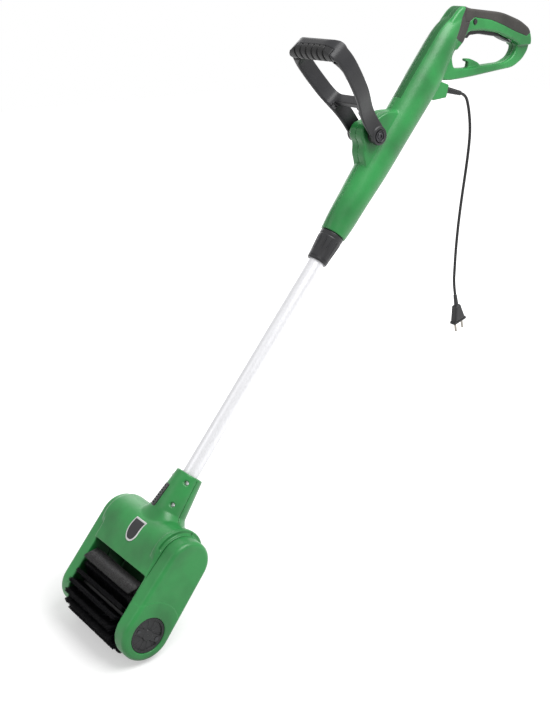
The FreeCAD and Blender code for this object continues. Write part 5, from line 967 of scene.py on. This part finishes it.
def floor_material():
    """A matt floor that takes shadow, lifted to white where the camera sees it, less near the brush."""
    material = bpy.data.materials.new("Floor white")
    material.use_nodes = True
    tree = material.node_tree
    shader = tree.nodes["Principled BSDF"]
    shader.inputs["Base Color"].default_value = (0.62, 0.62, 0.62, 1)
    shader.inputs["Roughness"].default_value = 0.9
    shader.inputs["Specular IOR Level"].default_value = 0.0
    shader.inputs["Emission Color"].default_value = (1, 1, 1, 1)
    place = add(tree, "ShaderNodeTexCoord").outputs["Object"]
    centre = add(tree, "ShaderNodeVectorMath", operation="DISTANCE")
    tree.links.new(place, centre.inputs[0])
    centre.inputs[1].default_value = (0.0, -0.80, CAD_BOX[0][2])
    far = ramp(tree, centre.outputs["Value"], 0.22, 0.75)
    light = add(tree, "ShaderNodeLightPath")
    seen = maths(tree, "MAXIMUM", light.outputs["Is Camera Ray"], light.outputs["Is Glossy Ray"])
    lift = maths(tree, "ADD", maths(tree, "MULTIPLY", far, 0.6), 0.44)
    tree.links.new(maths(tree, "MULTIPLY", seen, lift), shader.inputs["Emission Strength"])
    return material


def white_sky(scene, strength):
    """Even pale light from all round, white where the camera or a reflection sees it."""
    world = bpy.data.worlds.new("Sky")
    scene.world = world
    world.use_nodes = True
    tree = world.node_tree
    back = tree.nodes["Background"]
    back.inputs["Color"].default_value = (1, 1, 1, 1)
    light = add(tree, "ShaderNodeLightPath")
    seen = maths(tree, "MAXIMUM", light.outputs["Is Camera Ray"], light.outputs["Is Glossy Ray"])
    level = maths(tree, "ADD", maths(tree, "MULTIPLY", seen, 1.0 - strength), strength)
    tree.links.new(level, back.inputs["Strength"])


OPERATORS = [MakeFinishes, MakeCord, MakeTube, MakeCollar, MakeHousing, MakeFrontHandle,
             MakeHead, MakeBrush, MakeStage]
GROUPS = {"finishes": Finishes, "tube": TubeSizes, "brush": BrushSizes, "stage": StageValues}


class PatioPanel(bpy.types.Panel):
    """Lists the pieces of the patio cleaner"""
    bl_idname = "VIEW3D_PT_patio_cleaner"
    bl_label = "Patio Cleaner"
    bl_space_type = "VIEW_3D"
    bl_region_type = "UI"
    bl_category = "Patio Cleaner"

    def draw(self, context):
        for name in GROUPS:
            box = self.layout.box()
            values = setting(name)
            for key in values.__annotations__:
                box.prop(values, key)
        for operator in OPERATORS:
            self.layout.operator(operator.bl_idname)


def register():
    """Registers the value groups, the operators and the panel."""
    for name, group in GROUPS.items():
        bpy.utils.register_class(group)
        setattr(bpy.types.Scene, "patio_" + name, PointerProperty(type=group))
    for operator in OPERATORS:
        bpy.utils.register_class(operator)
    bpy.utils.register_class(PatioPanel)


def unregister():
    """Takes them all off again, the panel first."""
    bpy.utils.unregister_class(PatioPanel)
    for operator in reversed(OPERATORS):
        bpy.utils.unregister_class(operator)
    for name, group in GROUPS.items():
        delattr(bpy.types.Scene, "patio_" + name)
        bpy.utils.unregister_class(group)


def main():
    """Builds every piece in order."""
    register()
    for operator in OPERATORS:
        group, name = operator.bl_idname.split(".")
        getattr(getattr(bpy.ops, group), name)()


if __name__ == "__main__":
    main()
